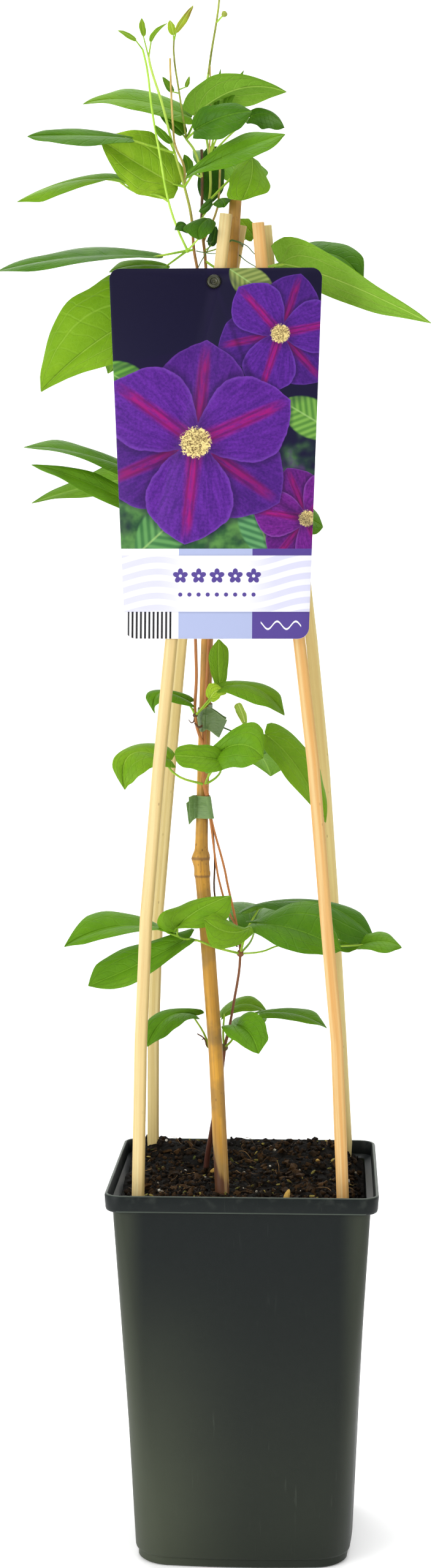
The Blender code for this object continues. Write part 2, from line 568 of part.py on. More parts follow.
right.leaf([(13, 1, 720), (22, 12, 724)], base=(29, 20, 726), mid=(50, 26, 729), tip=(65, 24, 713),
           left=(42, 32, 738), right=(42, 18, 720), left_far=(63, 32, 731), right_far=(56, 20, 717))
right.leaf([(-23.2, 1, 728), (-18, 12, 731)], base=(3, 18, 738), mid=(-1, 18, 744), tip=(-4, 17, 749),
           left=(-3, 17, 743), right=(2, 20, 745))
right.leaf([DARK_KNOT, (-23, -4, 746)], base=(-20, -10, 745), mid=(-25, -18, 739), tip=(-25, -20, 732),
           left=(-18, -18, 737), right=(-33, -18, 740))
right.leaf([DARK_KNOT, (-26, -5, 743)], base=(-31, -12, 739), mid=(-35, -14, 741), tip=(-39, -14, 738),
           left=(-35, -17, 737), right=(-35, -12, 743))
right.leaf([DARK_KNOT, (-20, 1, 753)], base=(-16, 2, 757), mid=(-13, -6, 755), tip=(-12, -9, 751),
           left=(-9, -2, 757), right=(-17, -6, 752))
right.leaf([DARK_KNOT, (-21, 0, 753)], base=(-19, 0, 756), mid=(-22, -6, 752), tip=(-26, -8, 749),
           left=(-21, -8, 749), right=(-22, -2, 756))
right.leaf([(-21, 5, 757), (-1, 4, 776)], base=(3, 2, 780), mid=(3, -8, 767), tip=(-2, -14, 754),
           left=(12, -8, 767), right=(-8, -4, 769), left_far=(11, -14, 758), right_far=(-10, -12, 757))
right.leaf([TALL_KNOT, (-19, 9, 787)], base=(-18, 12, 788), mid=(-20, 12, 773), tip=(-21, 11, 756),
           left=(-13, 14, 777), right=(-27, 12, 777), left_far=(-14, 14, 764), right_far=(-27, 12, 763))
right.leaf([TALL_KNOT, (-10, 8, 793)], base=(2, 2, 802), mid=(12, 0, 803), tip=(21, -4, 795),
           left=(7, 8, 808), right=(6, -6, 796), left_far=(16, 4, 804), right_far=(14, -8, 793))
right.leaf([HIGH_FORK, (-30, 12, 774)], base=(-22, 24, 779), mid=(-14, 50, 788), tip=(-2, 78, 772),
           left=(-32, 42, 790), right=(2, 40, 786), left_far=(-22, 66, 784), right_far=(10, 62, 778))
right.leaf([CROWN_KNOT], base=(-31, 2, 802), mid=(-62, -1, 811), tip=(-90, -8, 808),
           left=(-48, -9, 801), right=(-50, 11, 817), left_far=(-73, -11, 807), right_far=(-75, 3, 817))
right.leaf([CROWN_KNOT], base=(-29, 2, 803), mid=(-4, 4, 818), tip=(22, 4, 816),
           left=(-16, 16, 809), right=(-24, -2, 821), left_far=(6, 14, 812), right_far=(2, -2, 824))
right.leaf([CROWN_KNOT], base=(-28, -14, 792), mid=(-12, -26, 797), tip=(4, -30, 799),
           left=(-20, -20, 804), right=(-18, -28, 785), left_far=(-5, -26, 804), right_far=(-4, -32, 788))
right.leaf([CROWN_KNOT], base=(-35, -3, 792), mid=(-41, 0, 798), tip=(-48, 3, 803),
           left=(-41, -3, 794), right=(-35, 1, 799))
right.leaf([TIP_MIDDLE], base=(-39, -8, 846), mid=(-34, -8, 854), tip=(-29, -8, 861), left=(-37, -9, 852),
           right=(-33, -7, 852))
right.leaf([TIP_MIDDLE], base=(-40, -8, 845), mid=(-41, -8, 849), tip=(-42, -8, 853), left=(-43, -9, 848),
           right=(-39, -7, 849))
right.join()


# ties
# Tape pulled tight round what it holds: the hull of the held sections, hollowed.

# the middle of the tied stems, and the radius that holds them
TIED_STEMS = [
    (-18.5, -20.5, 411), (-21.2, -20.9, 428), (-22.7, -15.7, 453), (-22.5, -12.9, 470), (-21.3, -9.3, 490),
]
TIED_RADIUS = 1.8


def hull(points, name):
    bm = bmesh.new()
    for point in points:
        bm.verts.new(point)
    made = bmesh.ops.convex_hull(bm, input=bm.verts)
    inside = {v for v in made["geom_interior"] if isinstance(v, bmesh.types.BMVert)}
    unused = {v for v in made["geom_unused"] if isinstance(v, bmesh.types.BMVert)}
    bmesh.ops.delete(bm, geom=list(inside | unused), context="VERTS")
    return object_from(bm, name, TAPE_GREEN)


def circle_points(centre, radius, z, count=12):
    turns = [2 * math.pi * k / count for k in range(count)]
    return [(centre[0] + radius * math.cos(a), centre[1] + radius * math.sin(a), z) for a in turns]


def at_height(line, z):
    """The point where a rising line passes a height."""
    for low, high in zip(line, line[1:]):
        if low[2] <= z <= high[2]:
            return Vector(low).lerp(Vector(high), share(low[2], high[2], z))
    return Vector(line[-1])


def band(name, low, high, held):
    """A band of tape from low to high. held gives the points round the held things at a height."""
    outer = hull([*held(low, GAP + TAPE), *held(high, GAP + TAPE)], name)
    inner = hull([*held(low - 1, GAP), *held(high + 1, GAP)], name)
    boolean(outer, "DIFFERENCE", inner)
    return outer


def tape_end(corners, thick, name):
    """A flat loose end: the hull of a quadrilateral's corners thickened along Y."""
    return hull([(x, y + side, z) for x, y, z in corners for side in (0, thick)], name)


def cane_and_stems(z, grow):
    cane = at_height(CENTRE_LINE, z)
    stems = at_height(TIED_STEMS, z)
    return [*circle_points(cane, CENTRE_CANE_RADIUS + grow, z), *circle_points(stems, TIED_RADIUS + grow, z)]


def all_canes(z, grow):
    points = []
    for line in CANE_LINES.values():
        cane = at_height(line, z)
        for sx in (-1, 1):
            for sy in (-1, 1):
                corner = (cane.x + sx * (CANE_WIDTH / 2 - 1), cane.y + sy * (CANE_DEPTH / 2 - 1))
                points += circle_points(corner, 1 + grow, z, 8)
    return points


LOWER_TIE = 413.3
UPPER_TIE = 463
TOP_TIE = 675.5
# the corners of the two loose ends that show
LOWER_END = [(-31.4, -21.7, 411), (-26, -22.1, 409.5), (-23, -22.1, 421), (-31.4, -21.7, 423)]
UPPER_END = [(-20.6, -13.6, 465), (-14.5, -13, 460), (-10.8, -12.6, 469), (-20.6, -13.6, 475)]

tie_lower = band("tie_lower", LOWER_TIE, LOWER_TIE + TAPE_WIDTH, cane_and_stems)
boolean(tie_lower, "UNION", tape_end(LOWER_END, TAPE, "end"))
tie_upper = band("tie_upper", UPPER_TIE, UPPER_TIE + TAPE_WIDTH, cane_and_stems)
boolean(tie_upper, "UNION", tape_end(UPPER_END, TAPE, "end"))
band("tie_top", TOP_TIE, TOP_TIE + TAPE_WIDTH, all_canes)


# label and its stud

LABEL_PLACE = Matrix.Translation(LABEL_FOOT) @ Matrix.Rotation(-LABEL_LEAN, 4, "X")


def label_outline():
    """The label's outline, anticlockwise from the front, its foot's middle at the origin."""
    foot, top = LABEL_FOOT_WIDTH / 2, LABEL_TOP_WIDTH / 2
    corners = [
        (foot, 0), (LABEL_TOP_SHIFT + top, LABEL_HEIGHT), (LABEL_TOP_SHIFT - top, LABEL_HEIGHT), (-foot, 0),
    ]
    points = []
    for i, (x, z) in enumerate(corners):
        sx = 1 if x > 0 else -1
        sz = 1 if z > 0 else -1
        middle = (x - sx * LABEL_CORNER, z - sz * LABEL_CORNER)
        for step in range(5):
            a = math.pi / 2 * (i - 1 + step / 4)
            points.append((middle[0] + LABEL_CORNER * math.cos(a), middle[1] + LABEL_CORNER * math.sin(a)))
    return points


def turned(x, z, radii, depths):
    """A turned solid on an axis along Y, through the given radii at the given depths."""
    bm = round_tube([Vector((x, y, z)) for y in depths], radii, 16)
    bmesh.ops.transform(bm, matrix=LABEL_PLACE, verts=bm.verts)
    return bm


label_mesh = loft([[(x, -y, z) for x, z in label_outline()] for y in (0, LABEL_THICK)])
bmesh.ops.transform(label_mesh, matrix=LABEL_PLACE, verts=label_mesh.verts)
label = object_from(label_mesh, "label", LABEL_PLASTIC)
hole = object_from(turned(*LABEL_HOLE, [HOLE_RADIUS] * 2, [-5, 5]), "hole", LABEL_PLASTIC)
boolean(label, "DIFFERENCE", hole)
object_from(
    turned(
        *LABEL_HOLE,
        [STUD_FLANGE, STUD_FLANGE, STUD_RADIUS, STUD_RADIUS, STUD_RADIUS * 0.75],
        [GAP + 0.6, GAP, GAP, -LABEL_THICK - 0.8, -LABEL_THICK - 1.5],
    ),
    "label_stud",
    STUD_OLIVE,
)


# soil

def soil_height(x, y):
    """The soil's top: gently uneven, and washed down along the right wall."""
    rolling = 1.2 * math.sin(x / 11 + 1) * math.cos(y / 13) + 0.8 * math.sin((x + y) / 7)
    return SOIL_LEVEL + rolling - SOIL_DIP * share(SOIL_DIP_START, 66, x) ** 2


def soil_ring(half, corner):
    return [(x, y, soil_height(x, y)) for x, y in rounded_corners(half, half, corner, 3)]


def soil_edge():
    """The soil's edge on the wall, which stays inside the wall at every height of the top."""
    half, corner = wall_half(SOIL_LEVEL - SOIL_DIP - 2)
    return half - WALL - GAP, corner


edge_half, edge_corner = soil_edge()
soil = object_from(
    loft([
        body_ring(FLOOR + GAP, WALL + FOOT_INSET + GAP),
        body_ring(FOOT_STEP + 1.5, WALL + 0.2 + GAP),
        body_ring(POT_HEIGHT / 2, WALL + GAP),
        body_ring(SOIL_LEVEL - SOIL_DIP - 3, WALL + GAP),
        soil_ring(edge_half, edge_corner - 1),
        soil_ring(60, 8),
        soil_ring(48, 10),
        soil_ring(32, 10),
        soil_ring(14, 8),
    ]),
    "soil",
    SOIL_BROWN,
)
holes = []
for points in CANE_LINES.values():
    line = [Vector(p) for p in points]
    deep = line[0] + (line[0] - line[1]).normalized() * GAP
    holes.append(object_from(split_cane([deep, *line[1:3]], GAP), "hole", SOIL_BROWN))
deep = centre_line[0] + (centre_line[0] - centre_line[1]).normalized() * GAP
foot_radius = CENTRE_CANE_RADIUS + FOOT_SWELL + GAP
holes.append(object_from(round_tube([deep, *centre_line[1:3]], [foot_radius] * 3, 10), "hole", SOIL_BROWN))
trunk_hole = [Vector((*TRUNK_LINE[0][:2], TRUNK_LINE[0][2] - GAP)), *(Vector(p) for p in TRUNK_LINE[1:3])]
holes.append(object_from(round_tube(trunk_hole, [TRUNK_RADIUS + 2 * GAP] * 3, 8), "hole", SOIL_BROWN))
boolean(soil, "DIFFERENCE", *holes)

for made in bpy.data.objects:
    made.data.shade_smooth()
    made.data.set_sharp_from_angle(angle=math.radians(40))
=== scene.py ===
"""The looks of a potted clematis on a cane trellis. All places are in metres in the part's frame."""

import math
import random

import bmesh
import bpy
from mathutils import Matrix, Vector, noise


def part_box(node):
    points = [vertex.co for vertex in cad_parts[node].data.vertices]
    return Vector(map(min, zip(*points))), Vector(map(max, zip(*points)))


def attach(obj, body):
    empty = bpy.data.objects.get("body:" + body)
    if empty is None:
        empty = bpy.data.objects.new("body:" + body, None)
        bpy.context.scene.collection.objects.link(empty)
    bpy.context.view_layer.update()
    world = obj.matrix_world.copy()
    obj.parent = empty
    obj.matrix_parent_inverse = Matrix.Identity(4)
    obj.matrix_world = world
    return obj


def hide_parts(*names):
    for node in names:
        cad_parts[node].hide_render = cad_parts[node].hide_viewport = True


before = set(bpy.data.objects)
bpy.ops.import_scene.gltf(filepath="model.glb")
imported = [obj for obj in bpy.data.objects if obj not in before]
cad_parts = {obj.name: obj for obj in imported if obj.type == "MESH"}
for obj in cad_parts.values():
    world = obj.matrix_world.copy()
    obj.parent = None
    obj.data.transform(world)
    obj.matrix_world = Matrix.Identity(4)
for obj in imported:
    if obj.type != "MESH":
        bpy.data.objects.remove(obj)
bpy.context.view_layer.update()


# Camera
# The view looks a little down on the plant from just right of its front, at a standing
# person's distance. The picture is 703 by 2560, and its long side sets the lens.
PICTURE_HEIGHT = 2560
FOCAL_LENGTH_IN_PIXELS = 4122
SENSOR = 36.0
CAMERA_PLACE = Vector((0.0489, -1.4217, 0.536))
CAMERA_YAW = math.radians(2.66)
CAMERA_PITCH = math.radians(-4.215)

bpy.ops.object.camera_add(location=CAMERA_PLACE, rotation=(math.radians(90) + CAMERA_PITCH, 0, CAMERA_YAW))
camera = bpy.context.object
camera.data.sensor_width = SENSOR
camera.data.lens = SENSOR * FOCAL_LENGTH_IN_PIXELS / PICTURE_HEIGHT
bpy.context.scene.camera = camera
bpy.context.scene.view_settings.view_transform = "Standard"


# Floor and light
# A pale studio sweep, a floor that curves up into a wall behind, with a faint glow of its own. Soft
# boxes stand at the left front and, weaker, at the right front, hang above and behind the plant, and
# wash the wall. The air round them is pale too.
SWEEP_WIDTH = 24.0
SWEEP_FRONT = -12.0
SWEEP_BEND = 1.6
SWEEP_RADIUS = 1.2
SWEEP_TOP = 4.2
SWEEP_GLOW = 0.14


def fresh():
    """Goes to object mode with nothing selected."""
    if bpy.context.object and bpy.context.object.mode != "OBJECT":
        bpy.ops.object.mode_set(mode="OBJECT")
    bpy.ops.object.select_all(action="DESELECT")


def pick(piece):
    """Selects one piece alone and makes it the active one."""
    fresh()
    bpy.context.view_layer.objects.active = piece
    piece.select_set(True)


def rgb(*screen):
    """A screen colour, 0 to 255, as the linear colour that a shader takes."""
    return tuple(((c / 255 + 0.055) / 1.055) ** 2.4 if c > 10 else c / 255 / 12.92 for c in screen)


class Wire:
    """The output of a shader node, which takes arithmetic as a number does."""

    def __init__(self, paint, socket):
        self.paint = paint
        self.socket = socket

    def __add__(self, other):
        return self.paint.maths("ADD", self, other)

    def __sub__(self, other):
        return self.paint.maths("SUBTRACT", self, other)

    def __rsub__(self, other):
        return self.paint.maths("SUBTRACT", other, self)

    def __mul__(self, other):
        return self.paint.maths("MULTIPLY", self, other)

    def __truediv__(self, other):
        return self.paint.maths("DIVIDE", self, other)

    def __pow__(self, other):
        return self.paint.maths("POWER", self, other)

    def __gt__(self, other):
        return self.paint.maths("GREATER_THAN", self, other)

    def __lt__(self, other):
        return self.paint.maths("LESS_THAN", self, other)

    def __abs__(self):
        return self.paint.maths("ABSOLUTE", self)

    __radd__ = __add__
    __rmul__ = __mul__

    def least(self, other):
        return self.paint.maths("MINIMUM", self, other)

    def most(self, other):
        return self.paint.maths("MAXIMUM", self, other)

    def smooth(self, low, high):
        """0 below low and 1 above high, with a soft step between them. low may be the larger."""
        return self.paint.node("ShaderNodeMapRange", {"interpolation_type": "SMOOTHSTEP"},
                               {0: self, 1: low, 2: high, 3: 0.0, 4: 1.0})


class Paint:
    """A material whose nodes are written as expressions."""

    def __init__(self, name):
        self.material = bpy.data.materials.new(name)
        self.material.use_nodes = True
        self.tree = self.material.node_tree
        self.shader = self.tree.nodes["Principled BSDF"]

    def plug(self, value, socket):
        if isinstance(value, Wire):
            self.tree.links.new(value.socket, socket)
        elif isinstance(value, tuple) and socket.type == "RGBA":
            socket.default_value = (*value[:3], 1.0)
        else:
            socket.default_value = value

    def node(self, kind, settings, sockets, output=0):
        made = self.tree.nodes.new(kind)
        for name, value in settings.items():
            if name == "stops":
                ramp = made.color_ramp.elements
                while len(ramp) < len(value):
                    ramp.new(0.5)
                for stop, (place, colour) in zip(ramp, value):
                    stop.position = place
                    stop.color = (*colour, 1.0)
            else:
                setattr(made, name, value)
        for name, value in sockets.items():
            self.plug(value, made.inputs[name])
        return Wire(self, made.outputs[output])

    def place(self):
        return self.node("ShaderNodeTexCoord", {}, {}, "Object")

    def maths(self, operation, *values):
        return self.node("ShaderNodeMath", {"operation": operation}, dict(enumerate(values)))

    def attribute(self, name, output="Vector"):
        return self.node("ShaderNodeAttribute", {"attribute_name": name}, {}, output)

    def parts(self, vector):
        return [self.node("ShaderNodeSeparateXYZ", {}, {0: vector}, axis) for axis in "XYZ"]

    def vector(self, x, y, z=0.0):
        return self.node("ShaderNodeCombineXYZ", {}, {0: x, 1: y, 2: z})

    def stretched(self, vector, scale):
        return self.node("ShaderNodeVectorMath", {"operation": "MULTIPLY"}, {0: vector, 1: scale})

    def noise(self, vector, scale, detail=2.0, rough=0.5, warp=0.0):
        return self.node("ShaderNodeTexNoise", {}, {
            "Vector": vector, "Scale": scale, "Detail": detail, "Roughness": rough, "Distortion": warp})

    def cells(self, vector, scale, feature="DISTANCE_TO_EDGE"):
        return self.node("ShaderNodeTexVoronoi", {"feature": feature}, {"Vector": vector, "Scale": scale},
                         "Distance")

    def mix(self, share, first, second):
        return self.node("ShaderNodeMix", {"data_type": "RGBA"}, {0: share, 6: first, 7: second}, 2)

    def over(self, tone, *layers):
        """Lays colours over a tone, one after another. Each layer is a share and a colour."""
        for share, colour in layers:
            tone = self.mix(share, tone, colour)
        return tone

    def ramp(self, value, stops):
        return self.node("ShaderNodeValToRGB", {"stops": stops}, {0: value})

    def bump(self, height, depth):
        return self.node("ShaderNodeBump", {}, {"Strength": 1.0, "Distance": depth, "Height": height})

    def finish(self, **sockets):
        """Fills the shader's sockets. An underline in a name stands for a space."""
        inputs = {socket.name.lower(): socket for socket in self.shader.inputs}
        for name, value in sockets.items():
            self.plug(value, inputs[name.replace("_", " ")])
        return self.material


fresh()
bpy.ops.mesh.primitive_plane_add(size=1)
sweep = bpy.context.object
sweep.name = "studio_sweep"
bpy.ops.object.mode_set(mode="EDIT")
bpy.ops.mesh.select_all(action="SELECT")
bpy.ops.transform.resize(value=(SWEEP_WIDTH, SWEEP_BEND - SWEEP_FRONT, 1))
bpy.ops.transform.translate(value=(0, (SWEEP_BEND + SWEEP_FRONT) / 2, 0))
shape = bmesh.from_edit_mesh(sweep.data)
for edge in shape.edges:
    edge.select_set(all(v.co.y > SWEEP_BEND - 0.01 for v in edge.verts))
bmesh.update_edit_mesh(sweep.data)
bpy.ops.mesh.select_mode(type="EDGE")
bpy.ops.mesh.spin(steps=16, angle=math.radians(-90), center=(0, SWEEP_BEND, SWEEP_RADIUS), axis=(1, 0, 0))
if max(v.co.z for v in bmesh.from_edit_mesh(sweep.data).verts) < SWEEP_RADIUS / 2:
    raise RuntimeError("the sweep bends down")
bpy.ops.mesh.extrude_region_move(TRANSFORM_OT_translate={"value": (0, 0, SWEEP_TOP - SWEEP_RADIUS)})
bpy.ops.object.mode_set(mode="OBJECT")
bpy.ops.object.shade_smooth()
white = Paint("studio_white")
sweep.data.materials.append(white.finish(base_color=(0.96, 0.96, 0.96), roughness=0.9,
                                         emission_color=(1.0, 1.0, 1.0), emission_strength=SWEEP_GLOW))
# the wall shows on its front side alone, so that a view from behind it still sees the plant
sheet = white.node("ShaderNodeMixShader", {}, {
    0: white.node("ShaderNodeNewGeometry", {}, {}, "Backfacing"), 1: Wire(white, white.shader.outputs[0]),
    2: white.node("ShaderNodeBsdfTransparent", {}, {}),
})
white.plug(sheet, white.tree.nodes["Material Output"].inputs["Surface"])


def soft_box(name, place, aim, size, power):
    """A square area light that faces a point."""
    turn = (Vector(aim) - Vector(place)).to_track_quat("-Z", "Y").to_euler()
    bpy.ops.object.light_add(type="AREA", location=place, rotation=turn)
    lamp = bpy.context.object
    lamp.name = name
    lamp.data.size = size
    lamp.data.energy = power


soft_box("box_left", (-1.45, -1.25, 0.75), (0, 0, 0.4), 1.1, 25)
soft_box("box_right", (1.8, -1.4, 1.0), (0, 0, 0.5), 1.1, 9)
soft_box("box_above", (0.1, -0.5, 2.4), (0, 0, 0.4), 1.4, 17)
soft_box("box_behind", (-0.8, 1.4, 1.9), (0, 0, 0.6), 1.1, 7)
soft_box("wall_wash", (0, 0.9, 3.0), (0, 2.8, 0.9), 1.6, 60)
world = bpy.data.worlds.new("pale_air")
bpy.context.scene.world = world
world.use_nodes = True
air = world.node_tree.nodes["Background"].inputs
air["Color"].default_value = (1.0, 1.0, 1.0, 1.0)
air["Strength"].default_value = 0.5


# Pot
# A square nursery pot, blown in one piece from thin dark polypropylene. Its corners grow rounder
# towards the foot, a folded band stiffens the rim, and four holes drain the floor.
POT_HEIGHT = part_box("pot")[1].z
RIM_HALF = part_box("pot")[1].x
RIM_BAND = 0.0096
RIM_CORNER = 0.010
TOP_HALF = 0.0705
FOOT_HALF = 0.0618
TOP_CORNER = 0.005
FOOT_CORNER = 0.021
FOOT_STEP = 0.005
FOOT_INSET = 0.0016
WALL = 0.0018
FLOOR = 0.002
DRAIN_RADIUS = 0.005
DRAIN_PLACE = 0.036
CORNER_STEPS = 12
SIDE_STEPS = 12
SIDE_BOW = 0.0018


def square(half, corner, z, bow=0.0):
    """The points of a rounded square, anticlockwise. bow is how far the middle of a side stands out."""
    points = []
    for quarter, (sx, sy) in enumerate([(1, 1), (-1, 1), (-1, -1), (1, -1)]):
        for step in range(CORNER_STEPS + 1):
            a = math.pi / 2 * (quarter + step / CORNER_STEPS)
            points.append(Vector((sx * (half - corner) + corner * math.cos(a),
                                  sy * (half - corner) + corner * math.sin(a), z)))
        for step in range(1, SIDE_STEPS):
            run = 1 - 2 * step / SIDE_STEPS
            turn = Matrix.Rotation(math.pi / 2 * quarter, 3, "Z")
            points.append(turn @ Vector((run * (half - corner), half + bow * (1 - run * run), z)))
    return points


def pot_wall(z):
    """Half the body's outer width at a height, and its corner's radius."""
    t = min(1.0, max(0.0, (z - FOOT_STEP) / (POT_HEIGHT - RIM_BAND - FOOT_STEP)))
    return FOOT_HALF + (TOP_HALF - FOOT_HALF) * t, FOOT_CORNER + (TOP_CORNER - FOOT_CORNER) * t


def pot_body(z, inwards):
    half, corner = pot_wall(z)
    drop = min(1.0, (POT_HEIGHT - z) / (0.6 * POT_HEIGHT))
    bow = SIDE_BOW * drop
    return square(half - inwards - bow, max(0.001, corner - inwards), z, bow)


def draw_up(name, rings, local=None):
    """A closed body: a filled ring is extruded again and again, and each new ring is put in place.
    local gives each ring's points in the piece's own measure, for its material to read."""
    fresh()
    bpy.ops.mesh.primitive_circle_add(vertices=len(rings[0]), fill_type="NGON")
    piece = bpy.context.object
    piece.name = name
    bpy.ops.object.mode_set(mode="EDIT")
    bpy.ops.mesh.select_mode(type="FACE")
    for i, ring in enumerate(rings):
        if i:
            bpy.ops.mesh.extrude_region_move()
        shape = bmesh.from_edit_mesh(piece.data)
        layer = shape.verts.layers.float_vector.get("local") or shape.verts.layers.float_vector.new("local")
        end = next(face for face in shape.faces if face.select)
        for j, (vertex, point) in enumerate(zip(end.verts, ring)):
            vertex.co = point
            vertex[layer] = local[i][j] if local else point
        bmesh.update_edit_mesh(piece.data)
    bpy.ops.mesh.select_all(action="SELECT")
    bpy.ops.mesh.normals_make_consistent(inside=False)
    bpy.ops.object.mode_set(mode="OBJECT")
    return piece


def changed(piece, kind, **settings):
    """Gives a piece one modifier and applies it."""
    change = piece.modifiers.new(kind.lower(), kind)
    for name, value in settings.items():
        setattr(change, name, value)
    pick(piece)
    bpy.ops.object.modifier_apply(modifier=change.name)


def cut_away(piece, tool):
    """Takes the shape of a tool from a piece, and the tool from the scene."""
    changed(piece, "BOOLEAN", operation="DIFFERENCE", object=tool)
    bpy.data.objects.remove(tool, do_unlink=True)


def round_edges(piece, width, angle):
    """Rounds the edges that turn more than an angle in degrees."""
    changed(piece, "BEVEL", width=width, segments=2, limit_method="ANGLE", angle_limit=math.radians(angle))


def shade(piece, angle):
    """Shades a piece smooth, but for edges that turn more than an angle in degrees."""
    pick(piece)
    bpy.ops.object.shade_smooth_by_angle(angle=math.radians(angle))


def fit(piece, material_slot, *nodes):
    """Puts a finished piece on the frame, in place of the nodes that it stands for."""
    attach(piece, "root")
    if nodes:
        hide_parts(*nodes)


band_foot = POT_HEIGHT - RIM_BAND
pot = draw_up("nursery_pot", [
    # outside, from the foot up: height, and how far in from the wall's line
    *[pot_body(z, inwards) for z, inwards in (
        (0.0, FOOT_INSET + 0.0012), (0.0009, FOOT_INSET), (FOOT_STEP - 0.0003, FOOT_INSET),
        (FOOT_STEP + 0.0006, 0.0003), (FOOT_STEP + 0.0016, 0.0))],
    *[pot_body(FOOT_STEP + (band_foot - FOOT_STEP) * k / 8, 0.0) for k in range(1, 8)],
    pot_body(band_foot - 0.0006, 0.0),
    # the rim band, up its outside, over its lip and down its inside
    *[square(RIM_HALF - inwards, RIM_CORNER - inwards, z) for inwards, z in (
        (0.0018, band_foot), (0.0010, band_foot + 0.0005), (0.0006, band_foot + 0.0018),
        (0.0001, POT_HEIGHT - 0.0011), (0.0004, POT_HEIGHT - 0.0003), (0.0009, POT_HEIGHT),
        (WALL - 0.0002, POT_HEIGHT - 0.0001), (WALL + 0.0002, POT_HEIGHT - 0.0008),
        (WALL + 0.0009, band_foot + WALL))],
    # inside, down to the floor
    *[pot_body(z, inwards) for z, inwards in (
        (band_foot, WALL), (POT_HEIGHT / 2, WALL), (FOOT_STEP + 0.0004, WALL + 0.0002),
        (FLOOR, WALL + FOOT_INSET))],
])
for sx in (-1, 1):
    for sy in (-1, 1):
        fresh()
        bpy.ops.mesh.primitive_cylinder_add(vertices=32, radius=DRAIN_RADIUS, depth=6 * FLOOR,
                                            location=(sx * DRAIN_PLACE, sy * DRAIN_PLACE, FLOOR))
        cut_away(pot, bpy.context.object)
shade(pot, 50)

plastic = Paint("pot_plastic")
spot = plastic.place()
cloud = plastic.noise(spot, 14, 3)
grain = plastic.noise(spot, 2600, 2)
scuffs = plastic.noise(plastic.stretched(spot, (420.0, 420.0, 14.0)), 1.0, 3, 0.7)
marks = scuffs.smooth(0.62, 0.78) * plastic.noise(spot, 22, 1).smooth(0.45, 0.7)
across, back, height_up = plastic.parts(spot)
# painted sheen: the plastic is paler towards the foot and most of all towards the left side, a painted
# highlight from the soft box at the left
painted_sheen = height_up.smooth(0.190, 0.010) * (0.30 + 0.70 * across.smooth(0.010, -0.058)) * (0.7 + 0.6 * cloud)
# painted highlight: paler round the body's four rounded corners
corner = abs(across).smooth(0.052, 0.066) * abs(back).smooth(0.046, 0.060) * (height_up < band_foot)
dust = height_up.smooth(POT_HEIGHT - 0.010, POT_HEIGHT) * plastic.noise(spot, 160, 4).smooth(0.5, 0.75)
outside = abs(across).most(abs(back)) > RIM_HALF - 0.0014
# painted highlights: a pale line along the top of the lip, and one along the foot of the rim band's outside
lip = height_up.smooth(POT_HEIGHT - 0.0007, POT_HEIGHT - 0.0001) * 0.45
lip = lip.most((1 - abs(height_up - band_foot - 0.0004).smooth(0.0003, 0.0009)) * outside * 0.45)
colour = plastic.over(
    plastic.mix(cloud, rgb(7, 14, 15), rgb(12, 20, 18)),
    (marks * 0.3 + dust * 0.2, rgb(84, 90, 82)),
    (painted_sheen * 0.58 + corner * 0.35, rgb(78, 84, 66)),
    (lip * (0.6 + 0.5 * cloud), rgb(104, 114, 102)),
)
pot.data.materials.clear()
pot.data.materials.append(plastic.finish(
    base_color=colour,
    roughness=0.40 + cloud * 0.12 + marks * 0.12 + painted_sheen * 0.1,
    normal=plastic.bump(grain * 0.6 + scuffs * 0.4, 0.00010),
    specular_ior_level=0.2,
))
fit(pot, "pot_plastic", "pot")


# Compost
# Damp peat with bark, filled to just under the rim and washed down along the right wall. It is one
# crumbly body, with loose crumbs, bark chips, root fibres, grit, moss and bud scales lying on it.
SOIL_LEVEL = 0.206
SOIL_DIP = 0.012
SOIL_DIP_START = 0.046
SOIL_HEAP = 0.0070
SOIL_UNDERSIDE = SOIL_LEVEL - SOIL_DIP - 0.006
SOIL_GAP = 0.0003
SOIL_GRID = 170
noise.seed_set(7)  # the same clods and crumbs on each run


def soil_level(x, y):
    rolling = 0.0012 * math.sin(x / 0.011 + 1) * math.cos(y / 0.013) + 0.0008 * math.sin((x + y) / 0.007)
    washed = min(1.0, max(0.0, (x - SOIL_DIP_START) / (0.066 - SOIL_DIP_START)))
    heaped = min(1.0, max(0.0, (y - 0.012) / 0.050))
    return SOIL_LEVEL + rolling - SOIL_DIP * washed ** 2 + SOIL_HEAP * heaped * heaped * (3 - 2 * heaped)


def clods(x, y):
    """The lumps of the compost's surface at a point."""
    spot = Vector((x, y, 0.0))
    warp = noise.noise_vector(spot * 90) * 0.0035
    lump = noise.voronoi((spot + warp) * 145)[0]
    grit = noise.voronoi((spot + warp) * 420)[0]
    fine = noise.fractal(spot * 700, 0.8, 2.2, 4)
    return 0.0030 * (0.45 - lump[0]) + 0.0011 * (0.4 - grit[0]) + 0.0004 * fine


def inside_wall(x, y, z):
    """A point of the pot's inside, pulled in from the wall's round corner."""
    half, corner = pot_wall(z)
    half -= WALL + SOIL_GAP
    corner = max(0.001, corner - WALL)
    x, y = x * half, y * half
    over_x, over_y = abs(x) - (half - corner), abs(y) - (half - corner)
    if over_x > 0 and over_y > 0 and math.hypot(over_x, over_y) > corner:
        pull = corner / math.hypot(over_x, over_y)
        x = math.copysign(half - corner + over_x * pull, x)
        y = math.copysign(half - corner + over_y * pull, y)
    return x, y


fresh()
bpy.ops.mesh.primitive_grid_add(x_subdivisions=SOIL_GRID, y_subdivisions=SOIL_GRID, size=2)
compost = bpy.context.object
compost.name = "compost"
bpy.ops.object.mode_set(mode="EDIT")
shape = bmesh.from_edit_mesh(compost.data)
share = shape.verts.layers.float_vector.new("share")
for vertex in shape.verts:
    vertex[share] = vertex.co
    x, y = inside_wall(vertex.co.x, vertex.co.y, SOIL_LEVEL - SOIL_DIP)
    vertex.co = (x, y, soil_level(x, y) + clods(x, y))
bmesh.update_edit_mesh(compost.data)
